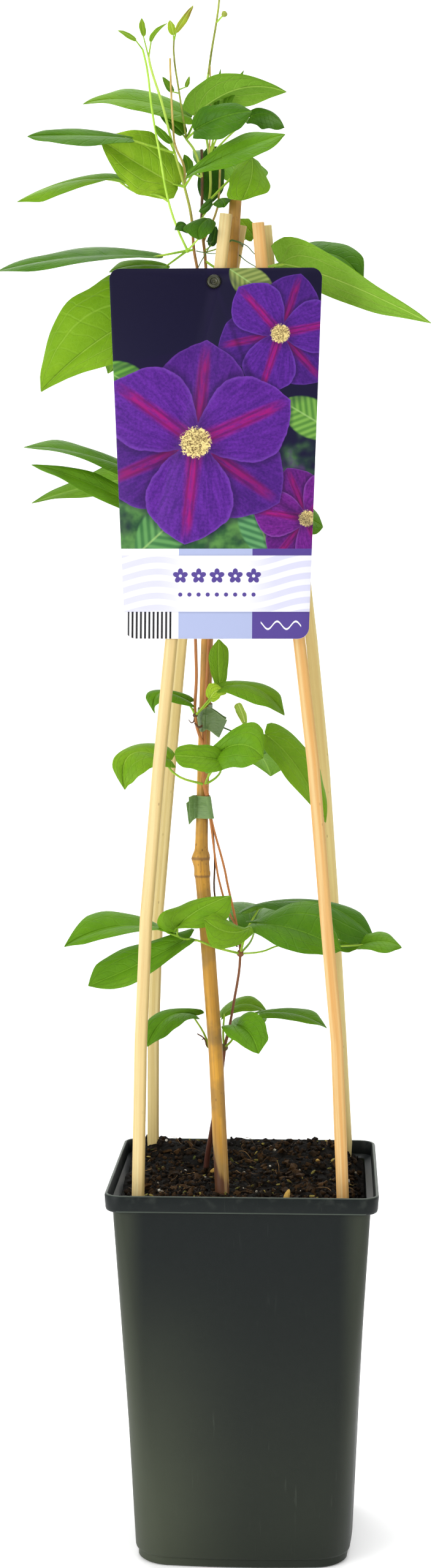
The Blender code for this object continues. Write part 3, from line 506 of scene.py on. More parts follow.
# the surface, drawn straight down to a flat underside; the pot hides what lies deeper
bpy.ops.mesh.extrude_region_move()
shape = bmesh.from_edit_mesh(compost.data)
share = shape.verts.layers.float_vector["share"]
for vertex in shape.verts:
    if vertex.select:
        x, y = inside_wall(vertex[share].x, vertex[share].y, SOIL_UNDERSIDE)
        vertex.co = (x, y, SOIL_UNDERSIDE)
bmesh.update_edit_mesh(compost.data)
bpy.ops.mesh.dissolve_faces()
bpy.ops.mesh.select_all(action="SELECT")
bpy.ops.mesh.remove_doubles(threshold=0.00002)
bpy.ops.mesh.normals_make_consistent(inside=False)
bpy.ops.object.mode_set(mode="OBJECT")
bpy.ops.object.shade_smooth()


def peat(name, dark, pale, rough):
    """Crumbly matter whose copies each read their own tint."""
    paint = Paint(name)
    spot = paint.place()
    speck = paint.noise(spot, 900, 4, 0.7)
    patch = paint.noise(spot, 70, 3)
    tint = paint.attribute("tint", "Fac")
    colour = paint.mix((speck * 0.6 + patch * 0.5 + tint * 0.5 - 0.35).smooth(0.1, 0.9), dark, pale)
    return paint.finish(base_color=colour, roughness=rough - speck * 0.2,
                        normal=paint.bump(speck, 0.0008), specular_ior_level=0.12)


compost.data.materials.append(peat("peat", rgb(7, 5, 3), rgb(40, 29, 16), 0.95))
fit(compost, "soil", "soil")


def heap(name, model, places, tints, paint):
    """Lays copies of a small model on the compost as one piece, each with its own place and tint."""
    pile = bmesh.new()
    layer = pile.verts.layers.float.new("tint")
    for place, tint in zip(places, tints):
        known = len(pile.verts)
        pile.from_mesh(model.data)
        pile.verts.ensure_lookup_table()
        copy = pile.verts[known:]
        for vertex in copy:
            vertex[layer] = tint
        bmesh.ops.transform(pile, matrix=place, verts=copy)
    piece = bpy.data.objects.new(name, bpy.data.meshes.new(name))
    pile.to_mesh(piece.data)
    pile.free()
    bpy.context.scene.collection.objects.link(piece)
    bpy.data.objects.remove(model, do_unlink=True)
    piece.data.materials.append(paint)
    fit(piece, "soil")


def scattered(count, size, lift, skew=1.0):
    """Random places on the compost, each turned and sized at random, and a random tint for each."""
    places = []
    for _ in range(count):
        x, y = inside_wall(chance.uniform(-0.955, 0.955), chance.uniform(-0.955, 0.955), SOIL_LEVEL - 0.01)
        grow = chance.uniform(*size)
        turn = Matrix.Rotation(chance.uniform(0, 2 * math.pi), 4, "Z")
        tip = Matrix.Rotation(chance.gauss(0, 0.5), 4, "X") @ Matrix.Rotation(chance.gauss(0, 0.5), 4, "Y")
        up = Vector((x, y, soil_level(x, y) + clods(x, y) + lift * grow))
        places.append(Matrix.Translation(up) @ turn @ tip @ Matrix.Scale(grow, 4))
    return places, [chance.random() ** skew for _ in range(count)]


def lump(model, rough):
    """Shakes a small model's points out of their even places."""
    for vertex in model.data.vertices:
        vertex.co += noise.noise_vector(vertex.co * 1.7) * rough


def pebble(rough, sizes=(1, 1, 1)):
    """A small rough body, one unit across."""
    fresh()
    bpy.ops.mesh.primitive_ico_sphere_add(subdivisions=1, radius=0.5)
    body = bpy.context.object
    body.data.transform(Matrix.Diagonal((*sizes, 1)))
    lump(body, rough)
    return body


chance = random.Random(7)
crumb = pebble(0.45)
bpy.ops.object.shade_smooth()
heap("peat_crumbs", crumb, *scattered(1500, (0.0009, 0.0036), 0.1, 2),
     peat("crumbs", rgb(8, 6, 4), rgb(68, 47, 24), 0.95))

fresh()
bpy.ops.mesh.primitive_cube_add(size=1)
chip = bpy.context.object
bpy.ops.object.mode_set(mode="EDIT")
bpy.ops.mesh.subdivide(number_cuts=2)
bpy.ops.transform.resize(value=(1.0, 0.55, 0.18))
bpy.ops.object.mode_set(mode="OBJECT")
lump(chip, 0.3)
heap("bark_chips", chip, *scattered(120, (0.002, 0.0064), 0.15),
     peat("bark", rgb(10, 8, 5), rgb(78, 54, 27), 0.9))


def vine(name, points, thick, thin, sides=2, steps=5):
    """A round stem through points in millimetres, drawn as a curve that tapers and made a mesh."""
    fresh()
    bpy.ops.curve.primitive_bezier_curve_add()
    stem = bpy.context.object
    stem.name = name
    spline = stem.data.splines[0]
    spline.bezier_points.add(len(points) - 2)
    for i, (knot, point) in enumerate(zip(spline.bezier_points, points)):
        knot.co = Vector(point) / 1000
        knot.handle_left_type = knot.handle_right_type = "AUTO"
        knot.radius = thick + (thin - thick) * i / (len(points) - 1)
    stem.data.dimensions = "3D"
    stem.data.bevel_depth = 0.001
    stem.data.bevel_resolution = sides
    stem.data.resolution_u = steps
    stem.data.use_fill_caps = True
    bpy.ops.object.convert(target="MESH")
    return bpy.context.object


def join(name, members):
    """Makes one piece of several."""
    fresh()
    for member in members:
        member.select_set(True)
    bpy.context.view_layer.objects.active = members[0]
    if len(members) > 1:
        bpy.ops.object.join()
    whole = bpy.context.object
    whole.name = name
    return whole


strand = vine("strand", [(-500, 0, 0), (-200, 60, 160), (150, -60, 190), (520, 40, 0)], 17, 7,
              sides=1, steps=3)
heap("root_fibres", strand, *scattered(70, (0.005, 0.014), 0.02, 1.5),
     peat("fibres", rgb(48, 34, 20), rgb(168, 130, 80), 0.7))
heap("pale_grit", pebble(0.35), *scattered(34, (0.0008, 0.0024), 0.35),
     peat("grit", rgb(120, 108, 92), rgb(226, 220, 205), 0.8))

# three dry bud scales, the largest by the front rim
fresh()
bpy.ops.mesh.primitive_uv_sphere_add(segments=12, ring_count=8, radius=0.5)
husk = bpy.context.object
bpy.ops.object.mode_set(mode="EDIT")
bpy.ops.transform.resize(value=(0.38, 0.26, 1.0))
bpy.ops.object.mode_set(mode="OBJECT")
lump(husk, 0.12)
heap("bud_scales", husk, [
    Matrix.Translation((0.0245, -0.0615, 0.2095)) @ Matrix.Rotation(0.35, 4, "Y") @ Matrix.Scale(0.0085, 4),
    Matrix.Translation((-0.018, 0.008, 0.2082)) @ Matrix.Rotation(1.1, 4, "Y") @ Matrix.Scale(0.006, 4),
    Matrix.Translation((0.041, 0.030, 0.2087)) @ Matrix.Rotation(1.3, 4, "X") @ Matrix.Scale(0.007, 4),
], [0.7, 0.4, 0.5], peat("husks", rgb(150, 112, 48), rgb(216, 178, 92), 0.6))
heap("moss_shreds", pebble(0.2, (1.0, 0.4, 0.25)), *scattered(90, (0.0016, 0.0044), 0.3),
     peat("shreds", rgb(62, 70, 26), rgb(164, 144, 74), 0.8))


# Trellis canes
# Four lengths of split bamboo, pushed into the pot's corners and leaning together at the top. Each
# has a flat face, a planed edge and long straight fibres, and its top is sawn square.
CANE_WIDTH = 0.0068
CANE_DEPTH = 0.0050
CANE_SPACING = 0.008
CANE_LINES = {
    "cane_front_left": [
        (-52, -53, 106), (-57, -58, 207), (-55.4, -56.4, 294), (-52.6, -53.5, 361), (-45.9, -46.7, 444),
        (-39.5, -40.2, 512), (-13.8, -14.1, 717.5), (-10.8, -11, 747),
    ],
    "cane_back_left": [
        (-52, 53, 106), (-56.9, 57.9, 215), (-56.7, 57.6, 274), (-54, 55, 348), (-45.8, 46.6, 438),
        (-38.8, 39.5, 511), (-7.8, 10.8, 720), (-3.4, 10.4, 744),
    ],
    "cane_front_right": [
        (51, -52, 106), (55.3, -56.3, 207), (51.7, -52.6, 294), (45.5, -46.3, 361), (38.4, -39.1, 444),
        (30.4, -30.9, 512), (9, -9.6, 718), (6.8, -9, 742.5),
    ],
    "cane_back_right": [
        (52, 53, 106), (57.8, 58.8, 214), (54.4, 55.4, 275), (50, 50.9, 349), (43.8, 44.6, 438),
        (36.6, 37.2, 511), (12.4, 12.6, 721), (10.4, 12, 744),
    ],
}
# face colour, edge colour, streak colour, and where across the face the streak runs
CANE_LOOKS = {
    "cane_front_left": (rgb(219, 201, 145), rgb(186, 159, 94), rgb(210, 182, 123), 0.0012),
    "cane_back_left": (rgb(214, 195, 139), rgb(197, 171, 108), rgb(201, 177, 112), -0.0006),
    "cane_front_right": (rgb(219, 187, 129), rgb(198, 155, 87), rgb(208, 156, 86), 0.0008),
    "cane_back_right": (rgb(212, 191, 126), rgb(210, 192, 132), rgb(201, 173, 108), -0.0018),
}


def evenly(points, spacing):
    """Points in metres at even steps along a line of points in millimetres, and how far along each is."""
    line = [Vector(p) / 1000 for p in points]
    placed, so_far = [(line[0], 0.0)], 0.0
    for low, high in zip(line, line[1:]):
        length = (high - low).length
        count = max(1, round(length / spacing))
        placed += [(low.lerp(high, k / count), so_far + length * k / count) for k in range(1, count + 1)]
        so_far += length
    return placed


def swept(name, placed, outline):
    """Draws up a body along a line. outline gives the section's points, x across and y deep, at a length."""
    rings, local = [], []
    for i, (point, so_far) in enumerate(placed):
        ahead, behind = placed[min(i + 1, len(placed) - 1)][0], placed[max(i - 1, 0)][0]
        along = (ahead - behind).normalized()
        across = (Vector((1, 0, 0)) - along.x * along).normalized()
        deep = along.cross(across)
        section = outline(so_far)
        rings.append([point + x * across + y * deep for x, y in section])
        local.append([Vector((x, y, so_far)) for x, y in section])
    return draw_up(name, rings, local)


def split_section(so_far, seed):
    """A split cane's section: flat in front, planed at the right front edge, round at the other corners."""
    half_x, half_y = CANE_WIDTH / 2, CANE_DEPTH / 2
    corners = [(1, 1, 0.0014), (-1, 1, 0.0014), (-1, -1, 0.0007), (1, -1, 0.0016)]
    wave = 1 - 0.012 * (1 + noise.noise(Vector((seed, 0, so_far * 55))))
    points = []
    for quarter, (sx, sy, corner) in enumerate(corners):
        for step in range(5):
            a = math.pi / 2 * (quarter + step / 4)
            points.append((wave * (sx * (half_x - corner) + corner * math.cos(a)),
                           wave * (sy * (half_y - corner) + corner * math.sin(a))))
    return points


def cane_finish(name, face, edge, streak, streak_place):
    paint = Paint(name)
    across, deep, so_far = paint.parts(paint.attribute("local"))
    fibre = paint.noise(paint.vector(across * 3200, deep * 3200, so_far * 22), 1.0, 3, 0.65)
    band = paint.noise(paint.vector(across * 520, deep * 520, so_far * 9), 1.0, 2)
    patch = paint.noise(paint.place(), 38, 3)
    ribbon = 1 - abs(across + band * 0.0012 - 0.0006 - streak_place).smooth(0.0003, 0.0013)
    dots = paint.cells(paint.vector(across * 260, deep * 260, so_far * 110), 1.0, "F1")
    tone = paint.over(
        paint.mix(band.smooth(0.35, 0.72), face, streak),
        (ribbon * 0.75, streak),
        ((across - deep * 0.35).smooth(0.0021, 0.0036) * 0.85, edge),
        (fibre.smooth(0.58, 0.80) * 0.42, rgb(176, 124, 66)),
        (patch.smooth(0.60, 0.80) * 0.25, rgb(205, 170, 112)),
        ((1 - dots.smooth(0.06, 0.14)) * patch.smooth(0.5, 0.7) * 0.6, rgb(120, 84, 48)),
    )
    return paint.finish(base_color=tone, roughness=0.46 + fibre * 0.2,
                        normal=paint.bump(fibre * 0.7 + band * 0.3, 0.00035), specular_ior_level=0.4)


for seed, (name, points) in enumerate(CANE_LINES.items()):
    cane = swept("split_" + name, evenly(points, CANE_SPACING),
                 lambda length: split_section(length, seed * 9.7))
    round_edges(cane, 0.0002, 70)
    shade(cane, 35)
    cane.data.materials.append(cane_finish(name + "_bamboo", *CANE_LOOKS[name]))
    fit(cane, "cane_straw", name)


# Centre cane
# A whole thin bamboo cane from the nursery, older than the trellis. It is ochre with brown streaks
# and specks, swells at its joints, and is dark and damp where it stands in the compost.
CENTRE_LINE = [
    (-8, -38, 80), (-11.6, -36, 204), (-15.7, -29, 284), (-21.4, -24, 357), (-23.4, -21.6, 380),
    (-24.2, -20, 391), (-24.1, -18.5, 402), (-23.6, -14, 429), (-21.9, 0, 511), (-14.3, 1.5, 635),
    (-8.3, 2, 720), (-5.8, 2.5, 762.3),
]
CENTRE_RADIUS = 0.0035
CENTRE_SWELL = 0.0006
KNOT_LEVEL = 0.391
CENTRE_SIDES = 28
CENTRE_SPACING = 0.0022


def hump(value, middle, width):
    return math.exp(-((value - middle) / width) ** 2)


def round_section(point_z, so_far):
    """The centre cane's section: round, with a swollen joint that has two rings and a bud on its left."""
    below = 1 / (1 + math.exp((point_z - KNOT_LEVEL) / 0.006))
    up = point_z - KNOT_LEVEL
    swell = 0.0006 * hump(up, -0.003, 0.008) + 0.0010 * hump(up, 0.001, 0.0019)
    swell += 0.00045 * hump(up, -0.0085, 0.0013) + 0.0005 * hump(point_z, 0.6, 0.003)
    points = []
    for k in range(CENTRE_SIDES):
        a = 2 * math.pi * k / CENTRE_SIDES
        wave = 0.00009 * noise.noise(Vector((math.cos(a) * 2, math.sin(a) * 2, so_far * 60)))
        bud = 0.0009 * hump(up, -0.001, 0.0022) * max(0.0, -math.cos(a - 0.2)) ** 6
        radius = CENTRE_RADIUS - 0.0001 + CENTRE_SWELL * below + swell + wave + bud
        points.append((radius * math.cos(a), radius * math.sin(a)))
    return points


placed = evenly(CENTRE_LINE, CENTRE_SPACING)
height_at = {so_far: point.z for point, so_far in placed}
centre = swept("bamboo_centre_cane", placed, lambda length: round_section(height_at[length], length))
round_edges(centre, 0.0003, 70)
shade(centre, 40)

bamboo = Paint("centre_bamboo")
across, deep, so_far = bamboo.parts(bamboo.attribute("local"))
level = bamboo.parts(bamboo.place())[2]
fibre = bamboo.noise(bamboo.vector(across * 1500, deep * 1500, so_far * 16), 1.0, 3, 0.6)
band = bamboo.noise(bamboo.vector(across * 330, deep * 330, so_far * 14), 1.0, 3)
patch = bamboo.noise(bamboo.place(), 60, 4)
knot_near = 1 - abs(level - KNOT_LEVEL).smooth(0.004, 0.03)
dots = bamboo.cells(bamboo.vector(across * 420, deep * 420, so_far * 230), 1.0, "F1")
ring = (1 - abs(level - KNOT_LEVEL).smooth(0.0004, 0.0012)).most(
    1 - abs(level - KNOT_LEVEL + 0.0098).smooth(0.0003, 0.0010))
mould = patch.smooth(0.5, 0.7) * (1 - abs(level - 0.30).smooth(0.01, 0.05))
wet_line = level + band * 0.022 + across * 2.6 - 0.011
pale = (1 - abs(across - 0.0022).smooth(0.0003, 0.0011)) * (1 - level.smooth(0.232, 0.250))
tone = bamboo.over(
    bamboo.mix(band.smooth(0.34, 0.68), rgb(208, 153, 46), rgb(176, 126, 32)),
    (level.smooth(0.40, 0.50) * 0.45, rgb(176, 128, 66)),
    (patch.smooth(0.42, 0.62) * 0.55, rgb(146, 112, 46)),
    (fibre.smooth(0.50, 0.78) * 0.6, rgb(130, 84, 36)),
    # painted shade: the round cane is darker down its right side
    (across.smooth(0.0012, 0.0040) * 0.35, rgb(120, 84, 44)),
    ((1 - dots.smooth(0.10, 0.24)) * (patch.smooth(0.52, 0.66) * 0.5 + knot_near * 0.6), rgb(84, 54, 30)),
    (ring * 0.65, rgb(104, 70, 36)),
    (mould * 0.45, rgb(104, 84, 46)),
    ((1 - wet_line.smooth(0.220, 0.238)) * 0.5, rgb(146, 120, 70)),
    ((1 - wet_line.smooth(0.2150, 0.2215)) * 0.94, rgb(80, 42, 20)),
    (pale * fibre.smooth(0.4, 0.6) * 0.8, rgb(196, 160, 104)),
)
centre.data.materials.append(bamboo.finish(
    base_color=tone,
    roughness=0.42 + fibre * 0.2,
    normal=bamboo.bump(fibre * 0.5 + band * 0.3 + patch * 0.2, 0.0003),
    specular_ior_level=0.45,
))
fit(centre, "cane_ochre", "centre_cane")


# Leafy stems
# Each clematis stem is thin and woody, red-brown below and green where it is new, with swollen
# joints that carry a pair of leaf stalks. A leaf is a thin tapered blade with a sunken midrib,
# arching side veins and a paler underside. Points on stems and leaves are given in millimetres.
NEAR = 0.3  # where along the midrib the edge points lie, as shares of its length
FAR = 0.7
LEAF_ROWS = 26
LEAF_SIDES = 7
LEAF_THICKNESS = 0.00036
STALK_RADIUS = 0.72
LOBE = 0.34  # how far the base's lobes reach back, and the next four likewise as shares of the half width
BULGE = 0.48
RIPPLE = 0.05
DENT = 0.045


def leaf_vein_masks(paint):
    """The midrib, side veins, rungs and net of a leaf, from its own measure."""
    side_way, down_way, share = paint.parts(paint.attribute("lamina"))
    tone, t, seed = paint.parts(paint.attribute("leaf"))
    wander = paint.noise(paint.vector(side_way * 60 + seed, down_way * 60), 1.0, 2) - 0.5
    away = abs(share)
    rib = 1 - abs(side_way).smooth(0.00022, 0.00022 + 0.00055)
    inner_vein = 0.44 * (1 - (1 - (t / 0.4).least(1.0)) ** 2.0) + 0.12 * t + wander * 0.10
    outer_vein = 0.78 * (1 - (1 - (t / 0.3).least(1.0)) ** 2.0) + 0.05 * t + wander * 0.08
    sides = (1 - abs(away - inner_vein).smooth(0.008, 0.034)).most(
        0.75 * (1 - abs(away - outer_vein).smooth(0.006, 0.026)))
    climb = t * 8.5 - away * 1.9 + wander * 1.6
    rungs = 1 - abs(climb - paint.maths("ROUND", climb)).smooth(0.02, 0.10)
    net = 1 - paint.cells(paint.vector(side_way + wander * 0.002, down_way, seed), 430.0).smooth(0.02, 0.13)
    puff = paint.cells(paint.vector(side_way, down_way, seed), 170.0, "SMOOTH_F1")
    return tone, t, seed, away, rib, sides, rungs, net, puff


def leaf_face(name, blade_stops, vein_stops, vein_strength, net_strength, rough):
    """A leaf's upper or lower face. Each stop pairs a tone with the colour at it."""
    paint = Paint(name)
    tone, t, seed, away, rib, sides, rungs, net, puff = leaf_vein_masks(paint)
    spot = paint.place()
    blotch = paint.noise(spot, 55, 3) - 0.5
    fine = paint.noise(spot, 900, 2) - 0.5
    shade = tone + blotch * 0.23 + fine * 0.06 + (t - 0.5) * 0.04 - puff * 0.05
    blade = paint.ramp(shade, blade_stops)
    vein = paint.ramp(tone, vein_stops)
    veins = (rib * 1.6).most(sides).most(rungs * 0.35) * vein_strength
    marks = veins.most(net * net_strength)
    colour = paint.mix(marks * (0.3 + tone * 0.9), blade, vein)
    height = puff * 0.5 - rib * 0.5 - sides * 0.4 - rungs * 0.2 - net * 0.05 + fine * 0.04
    return paint.finish(base_color=colour, roughness=rough + (tone - 0.5) * 0.16 + blotch * 0.1,
                        normal=paint.bump(height, 0.0007), specular_ior_level=0.11)


LEAF_UPPER = leaf_face(
    "leaf_upper",
    [(0.0, rgb(24, 56, 12)), (0.25, rgb(50, 94, 14)), (0.5, rgb(86, 132, 16)), (0.72, rgb(118, 158, 26)),
     (0.9, rgb(172, 204, 50)), (1.0, rgb(150, 128, 46))],
    [(0.0, rgb(70, 112, 36)), (0.5, rgb(118, 168, 42)), (1.0, rgb(200, 224, 100))],
    0.34, 0.06, 0.46,
)
LEAF_UNDER = leaf_face(
    "leaf_under",
    [(0.0, rgb(66, 104, 34)), (0.5, rgb(106, 152, 36)), (0.75, rgb(132, 174, 56)), (1.0, rgb(184, 208, 88))],
    [(0.0, rgb(124, 160, 72)), (0.5, rgb(152, 192, 74)), (1.0, rgb(210, 228, 124))],
    0.5, 0.14, 0.56,
)

# dark red wood, then brown bark, then the green of this year's growth, by height
wood = Paint("stem_bark")
spot = wood.place()
along = wood.noise(wood.stretched(spot, (1500.0, 1500.0, 90.0)), 1.0, 3, 0.65)
patch = wood.noise(spot, 120, 3)
level = wood.parts(spot)[2] + (patch - 0.5) * 0.02
bark = wood.ramp(level, [
    (0.21, rgb(72, 36, 24)), (0.285, rgb(112, 66, 40)), (0.345, rgb(132, 80, 44)),
    (0.36, rgb(184, 116, 56)), (0.45, rgb(176, 112, 56)), (0.56, rgb(160, 104, 56)),
    (0.735, rgb(150, 108, 52)), (0.752, rgb(150, 154, 56)), (0.79, rgb(168, 200, 74)),
    (0.88, rgb(188, 216, 96)),
])
bark = wood.mix(along.smooth(0.52, 0.74) * 0.35, bark, rgb(70, 40, 26))
bark = wood.mix(patch.smooth(0.6, 0.8) * 0.2, bark, rgb(190, 150, 100))
STEM_BARK = wood.finish(base_color=bark, roughness=0.5 + along * 0.15, normal=wood.bump(along, 0.0002),
                        specular_ior_level=0.4)

dry = Paint("dry_stem")
spot = dry.place()
along = dry.noise(dry.stretched(spot, (1500.0, 1500.0, 120.0)), 1.0, 3, 0.65)
DRY_STEM = dry.finish(base_color=dry.mix(along.smooth(0.35, 0.7), rgb(204, 182, 104), rgb(158, 134, 72)),
                      roughness=0.6 + along * 0.1, normal=dry.bump(along, 0.0002), specular_ior_level=0.3)


def young_skin(name, first, second):
    """The smooth skin of a young stem, from one green to another."""
    skin = Paint(name)
    spot = skin.place()
    streak = skin.noise(skin.stretched(spot, (1200.0, 1200.0, 130.0)), 1.0, 2)
    patch = skin.noise(spot, 90, 2)
    tone = skin.mix((patch * 0.6 + streak * 0.4).smooth(0.35, 0.65), first, second)
    return skin.finish(base_color=tone, roughness=0.45 + streak * 0.1, normal=skin.bump(streak, 0.0001),
                       specular_ior_level=0.3)


OLD_STEM = young_skin("old_stem", rgb(66, 44, 26), rgb(104, 72, 40))
TENDRIL = young_skin("tendril", rgb(50, 82, 34), rgb(88, 116, 48))
YOUNG_STEM = young_skin("young_stem", rgb(150, 196, 52), rgb(180, 216, 84))
KNOT_SKIN = young_skin("knot_skin", rgb(62, 40, 26), rgb(112, 104, 50))
OLIVE_STEM = young_skin("olive_stem", rgb(118, 124, 46), rgb(158, 170, 66))
LEAF_STALK = young_skin("leaf_stalk", rgb(120, 164, 34), rgb(160, 192, 58))


def on_rib(base, mid, tip, t):
    bend = 2 * mid - (base + tip) / 2
    return (1 - t) ** 2 * base + 2 * t * (1 - t) * bend + t * t * tip


def width_share(t, blunt=False):
    """The blade's half width at t along the midrib, as a share of the widest."""
    if t < NEAR:
        return 0.08 + 0.92 * math.sin(math.pi / 2 * (t / NEAR) ** 0.55)
    past = (t - NEAR) / (1 - NEAR)
    return max(0.0, 1 - past ** 3.2) ** 0.6 if blunt else max(0.0, 1 - past ** 1.9) ** 0.95


class Shoot:
    """The stems, joints, stalks and blades of one leafy stem, which stand for one node."""

    def __init__(self, name):
        self.name = name
        self.wood, self.stalks, self.blades = [], [], []

    def stem(self, points, thick, thin, skin=None):
        stem = vine("stem", points, thick, thin)
        stem.data.materials.append(skin or STEM_BARK)
        self.wood.append(stem)

    def knot(self, place, radius, skin=None):
        """A swollen joint: a round middle, and four bud scales that lean out from it."""
        size = radius / 1000
        for scale in range(5):
            girth, long, lean, rise = (0.55, 1.15, 0.5, 0.45) if scale else (0.95, 0.9, 0.0, 0.0)
            fresh()
            turn = Matrix.Rotation(scale * 2.4, 4, "Z") @ Matrix.Rotation(lean, 4, "Y")
            bpy.ops.mesh.primitive_uv_sphere_add(segments=12, ring_count=8, radius=size * girth)
            swelling = bpy.context.object
            bpy.ops.object.mode_set(mode="EDIT")
            bpy.ops.transform.resize(value=(1, 1, long))
            bpy.ops.object.mode_set(mode="OBJECT")
            lift = Matrix.Translation((0, 0, size * rise))
            swelling.data.transform(Matrix.Translation(Vector(place) / 1000) @ turn @ lift)
            bpy.ops.object.shade_smooth()
            swelling.data.materials.append(skin or STEM_BARK)
            self.wood.append(swelling)

    # each leaf's tone is partly its own age and colour and partly painted shade: leaves that lie in shade are
    # given a darker tone
    def leaf(self, tone, stalk, base, mid, tip, left, right, left_far=None, right_far=None, blunt=False):
        """A leaf, its tone from dark to pale. stalk is the stalk's way to it. base, mid and tip lie on its
        midrib, left and right on its edge near the base, and left_far and right_far on its edge farther
        out. Left is the side of -x on a leaf whose upper face is seen with its tip up."""
        points = [Vector(p) / 1000 if p else None for p in (base, mid, tip, left, right, left_far, right_far)]
        base, mid, tip, left, right, left_far, right_far = points
        length = (mid - base).length + (tip - mid).length
        stalk_radius = min(STALK_RADIUS, 0.34 + 12 * length)
        self.stalks.append(vine("stalk", [*stalk, on_rib(base, mid, tip, 0.06) * 1000],
                                stalk_radius, stalk_radius * 0.75))
        near_point, far_point = on_rib(base, mid, tip, NEAR), on_rib(base, mid, tip, FAR)
        left_near, right_near = left - near_point, right - near_point
        left_end = (left_far - far_point) / width_share(FAR, blunt) if left_far else left_near
        right_end = (right_far - far_point) / width_share(FAR, blunt) if right_far else right_near
        chance = random.Random(round(base.x * 1e4) * 7 + round(base.z * 1e4))
        waves = [(chance.uniform(2.2, 3.6), chance.uniform(0, 6.3)) for _ in range(2)]
        seed = chance.uniform(0, 40)
        fresh()
        bpy.ops.mesh.primitive_grid_add(x_subdivisions=2 * LEAF_SIDES, y_subdivisions=LEAF_ROWS, size=2)
        blade = bpy.context.object
        bpy.ops.object.mode_set(mode="EDIT")
        shape = bmesh.from_edit_mesh(blade.data)
        lamina = shape.verts.layers.float_vector.new("lamina")
        kind = shape.verts.layers.float_vector.new("leaf")
        for vertex in shape.verts:
            s, t = vertex.co.x, (vertex.co.y + 1) / 2
            centre = on_rib(base, mid, tip, t)
            ahead, behind = on_rib(base, mid, tip, min(1, t + 0.01)), on_rib(base, mid, tip, max(0, t - 0.01))
            along = (ahead - behind).normalized()
            lean = min(1.2, max(-0.35, (t - NEAR) / (FAR - NEAR)))
            to_left, to_right = left_near.lerp(left_end, lean), right_near.lerp(right_end, lean)
            up = (to_right - to_left).cross(along).normalized()
            side = to_left if s < 0 else to_right
            away = abs(s)
            share = width_share(t, blunt)
            lobe = LOBE * side.length * away * away * max(0, 1 - t / NEAR) ** 1.5 * min(1.0, share * 1.6)
            bulge = BULGE * side.length * share * away * (1 - away)
            rate, phase = waves[s > 0]
            ripple = RIPPLE * side.length * away ** 3 * math.sin(rate * math.pi * t + phase)
            ripple *= min(1, 5 * t * (1 - t))
            dent = 1 + DENT * away * math.sin(rate * 4.1 * t + 2 * phase)
            dent += 0.02 * math.sin(23 * t + 5 * phase)
            width = max(0.012, share * (dent if 0.04 < t < 0.96 else 1.0))
            vertex.co = centre + side * away * width - along * lobe + up * (bulge + ripple)
            vertex[lamina] = (s * side.length * width, t * length, s)
            vertex[kind] = (tone, t, seed)
        bmesh.update_edit_mesh(blade.data)
        bpy.ops.object.mode_set(mode="OBJECT")
        blade.data.materials.append(LEAF_UPPER)
        blade.data.materials.append(LEAF_UNDER)
        changed(blade, "SOLIDIFY", thickness=LEAF_THICKNESS, offset=0, material_offset=1)
        bpy.ops.object.shade_smooth()
        self.blades.append(blade)

    def finish(self):
        wood = join(self.name + "_wood", self.wood)
        stalks = join(self.name + "_stalks", self.stalks)
        stalks.data.materials.append(LEAF_STALK)
        for piece in (wood, stalks, join(self.name + "_leaves", self.blades)):
            shade(piece, 60)
            fit(piece, "leaf_green", self.name)


# low stem, out of the soil, with the two lowest tiers

LOW_KNOT = (-11.3, -19, 284)
TWIG_KNOT = (-20.2, -21, 284.4)
SECOND_KNOT = (-2.4, -18, 337.1)
LEFT_JOINT = (-36, -36, 349)
RIGHT_JOINT = (48, 0, 339)
TRUNK_LINE = [(-24.5, 20, 150), (-23.5, 20, 206), (-19.9, 8, 229), (-14.9, -9, 258), LOW_KNOT]
TRUNK_RADIUS = 1.8

low = Shoot("stem_low")
low.stem(TRUNK_LINE, TRUNK_RADIUS, 1.2)
low.stem([LOW_KNOT, (-9.3, -19, 292), (-6.2, -19, 308.5), SECOND_KNOT, (-3.2, -17.5, 345)], 0.78, 0.72)
low.stem([LOW_KNOT, (-16.1, -20, 283.2), TWIG_KNOT, (-22.4, -24, 290), (-26.1, -26, 293)], 0.7, 0.35,
         OLD_STEM)
low.stem([(-22.4, -24, 290), (-23.6, -25, 289.4)], 0.4, 0.25, OLD_STEM)
low.knot(LOW_KNOT, 2.3, KNOT_SKIN)
low.knot(SECOND_KNOT, 2.2)
low.leaf(0.42, [TWIG_KNOT, (-21.5, -22, 290)], (-27, -25, 303), (-42, -32, 303), (-53, -40, 288),
         (-32, -38, 302), (-34, -24, 307), (-42, -42, 295), (-54, -32, 301))
low.leaf(0.5, [LOW_KNOT, (-7, -24, 289)], (-4, -28, 298), (4, -42, 296), (9, -54, 287), (8, -38, 306),
         (-10, -38, 296), (14, -48, 296), (0, -50, 290))
low.leaf(0.62, [LOW_KNOT, (-12, -18, 290)], (-13, -12, 300), (-1, -2, 306), (13, 4, 299), (-8, 8, 306),
         (-6, -10, 302), (6, 10, 307), (7, -6, 303))
low.leaf(0.5, [LOW_KNOT, (-8, -16, 292)], (9, -10, 302), (28, -6, 301), (46, -10, 294), (16, 4, 302),
         (17, -16, 300), (37, 4, 301), (36, -16, 298))
low.leaf(0.42, [LOW_KNOT, (-10, 0, 289)], (-6, 16, 288), (0, 38, 290), (6, 62, 281), (-8, 36, 291),
         (9, 38, 290))
low.leaf(0.41, [SECOND_KNOT, (1, -22, 348)], (5, -24, 355), (30, -30, 352), (54, -30, 341), (15, -18, 361),
         (14, -36, 347), (41, -16, 365), (39, -38, 339))
low.leaf(0.34, [SECOND_KNOT, (-1, -8, 345)], (2, -2, 358), (41, 6, 363), (73, 2, 342), (19, 12, 363),
         (19, -6, 359), (60, 14, 359), (55, -8, 344))
low.leaf(0.58, [SECOND_KNOT, (10, -22, 339), (19, -20, 342), RIGHT_JOINT], (53, 10, 338), (61, 9, 339),
         (70, 8, 343), (59, 15, 343), (58, 5, 335))
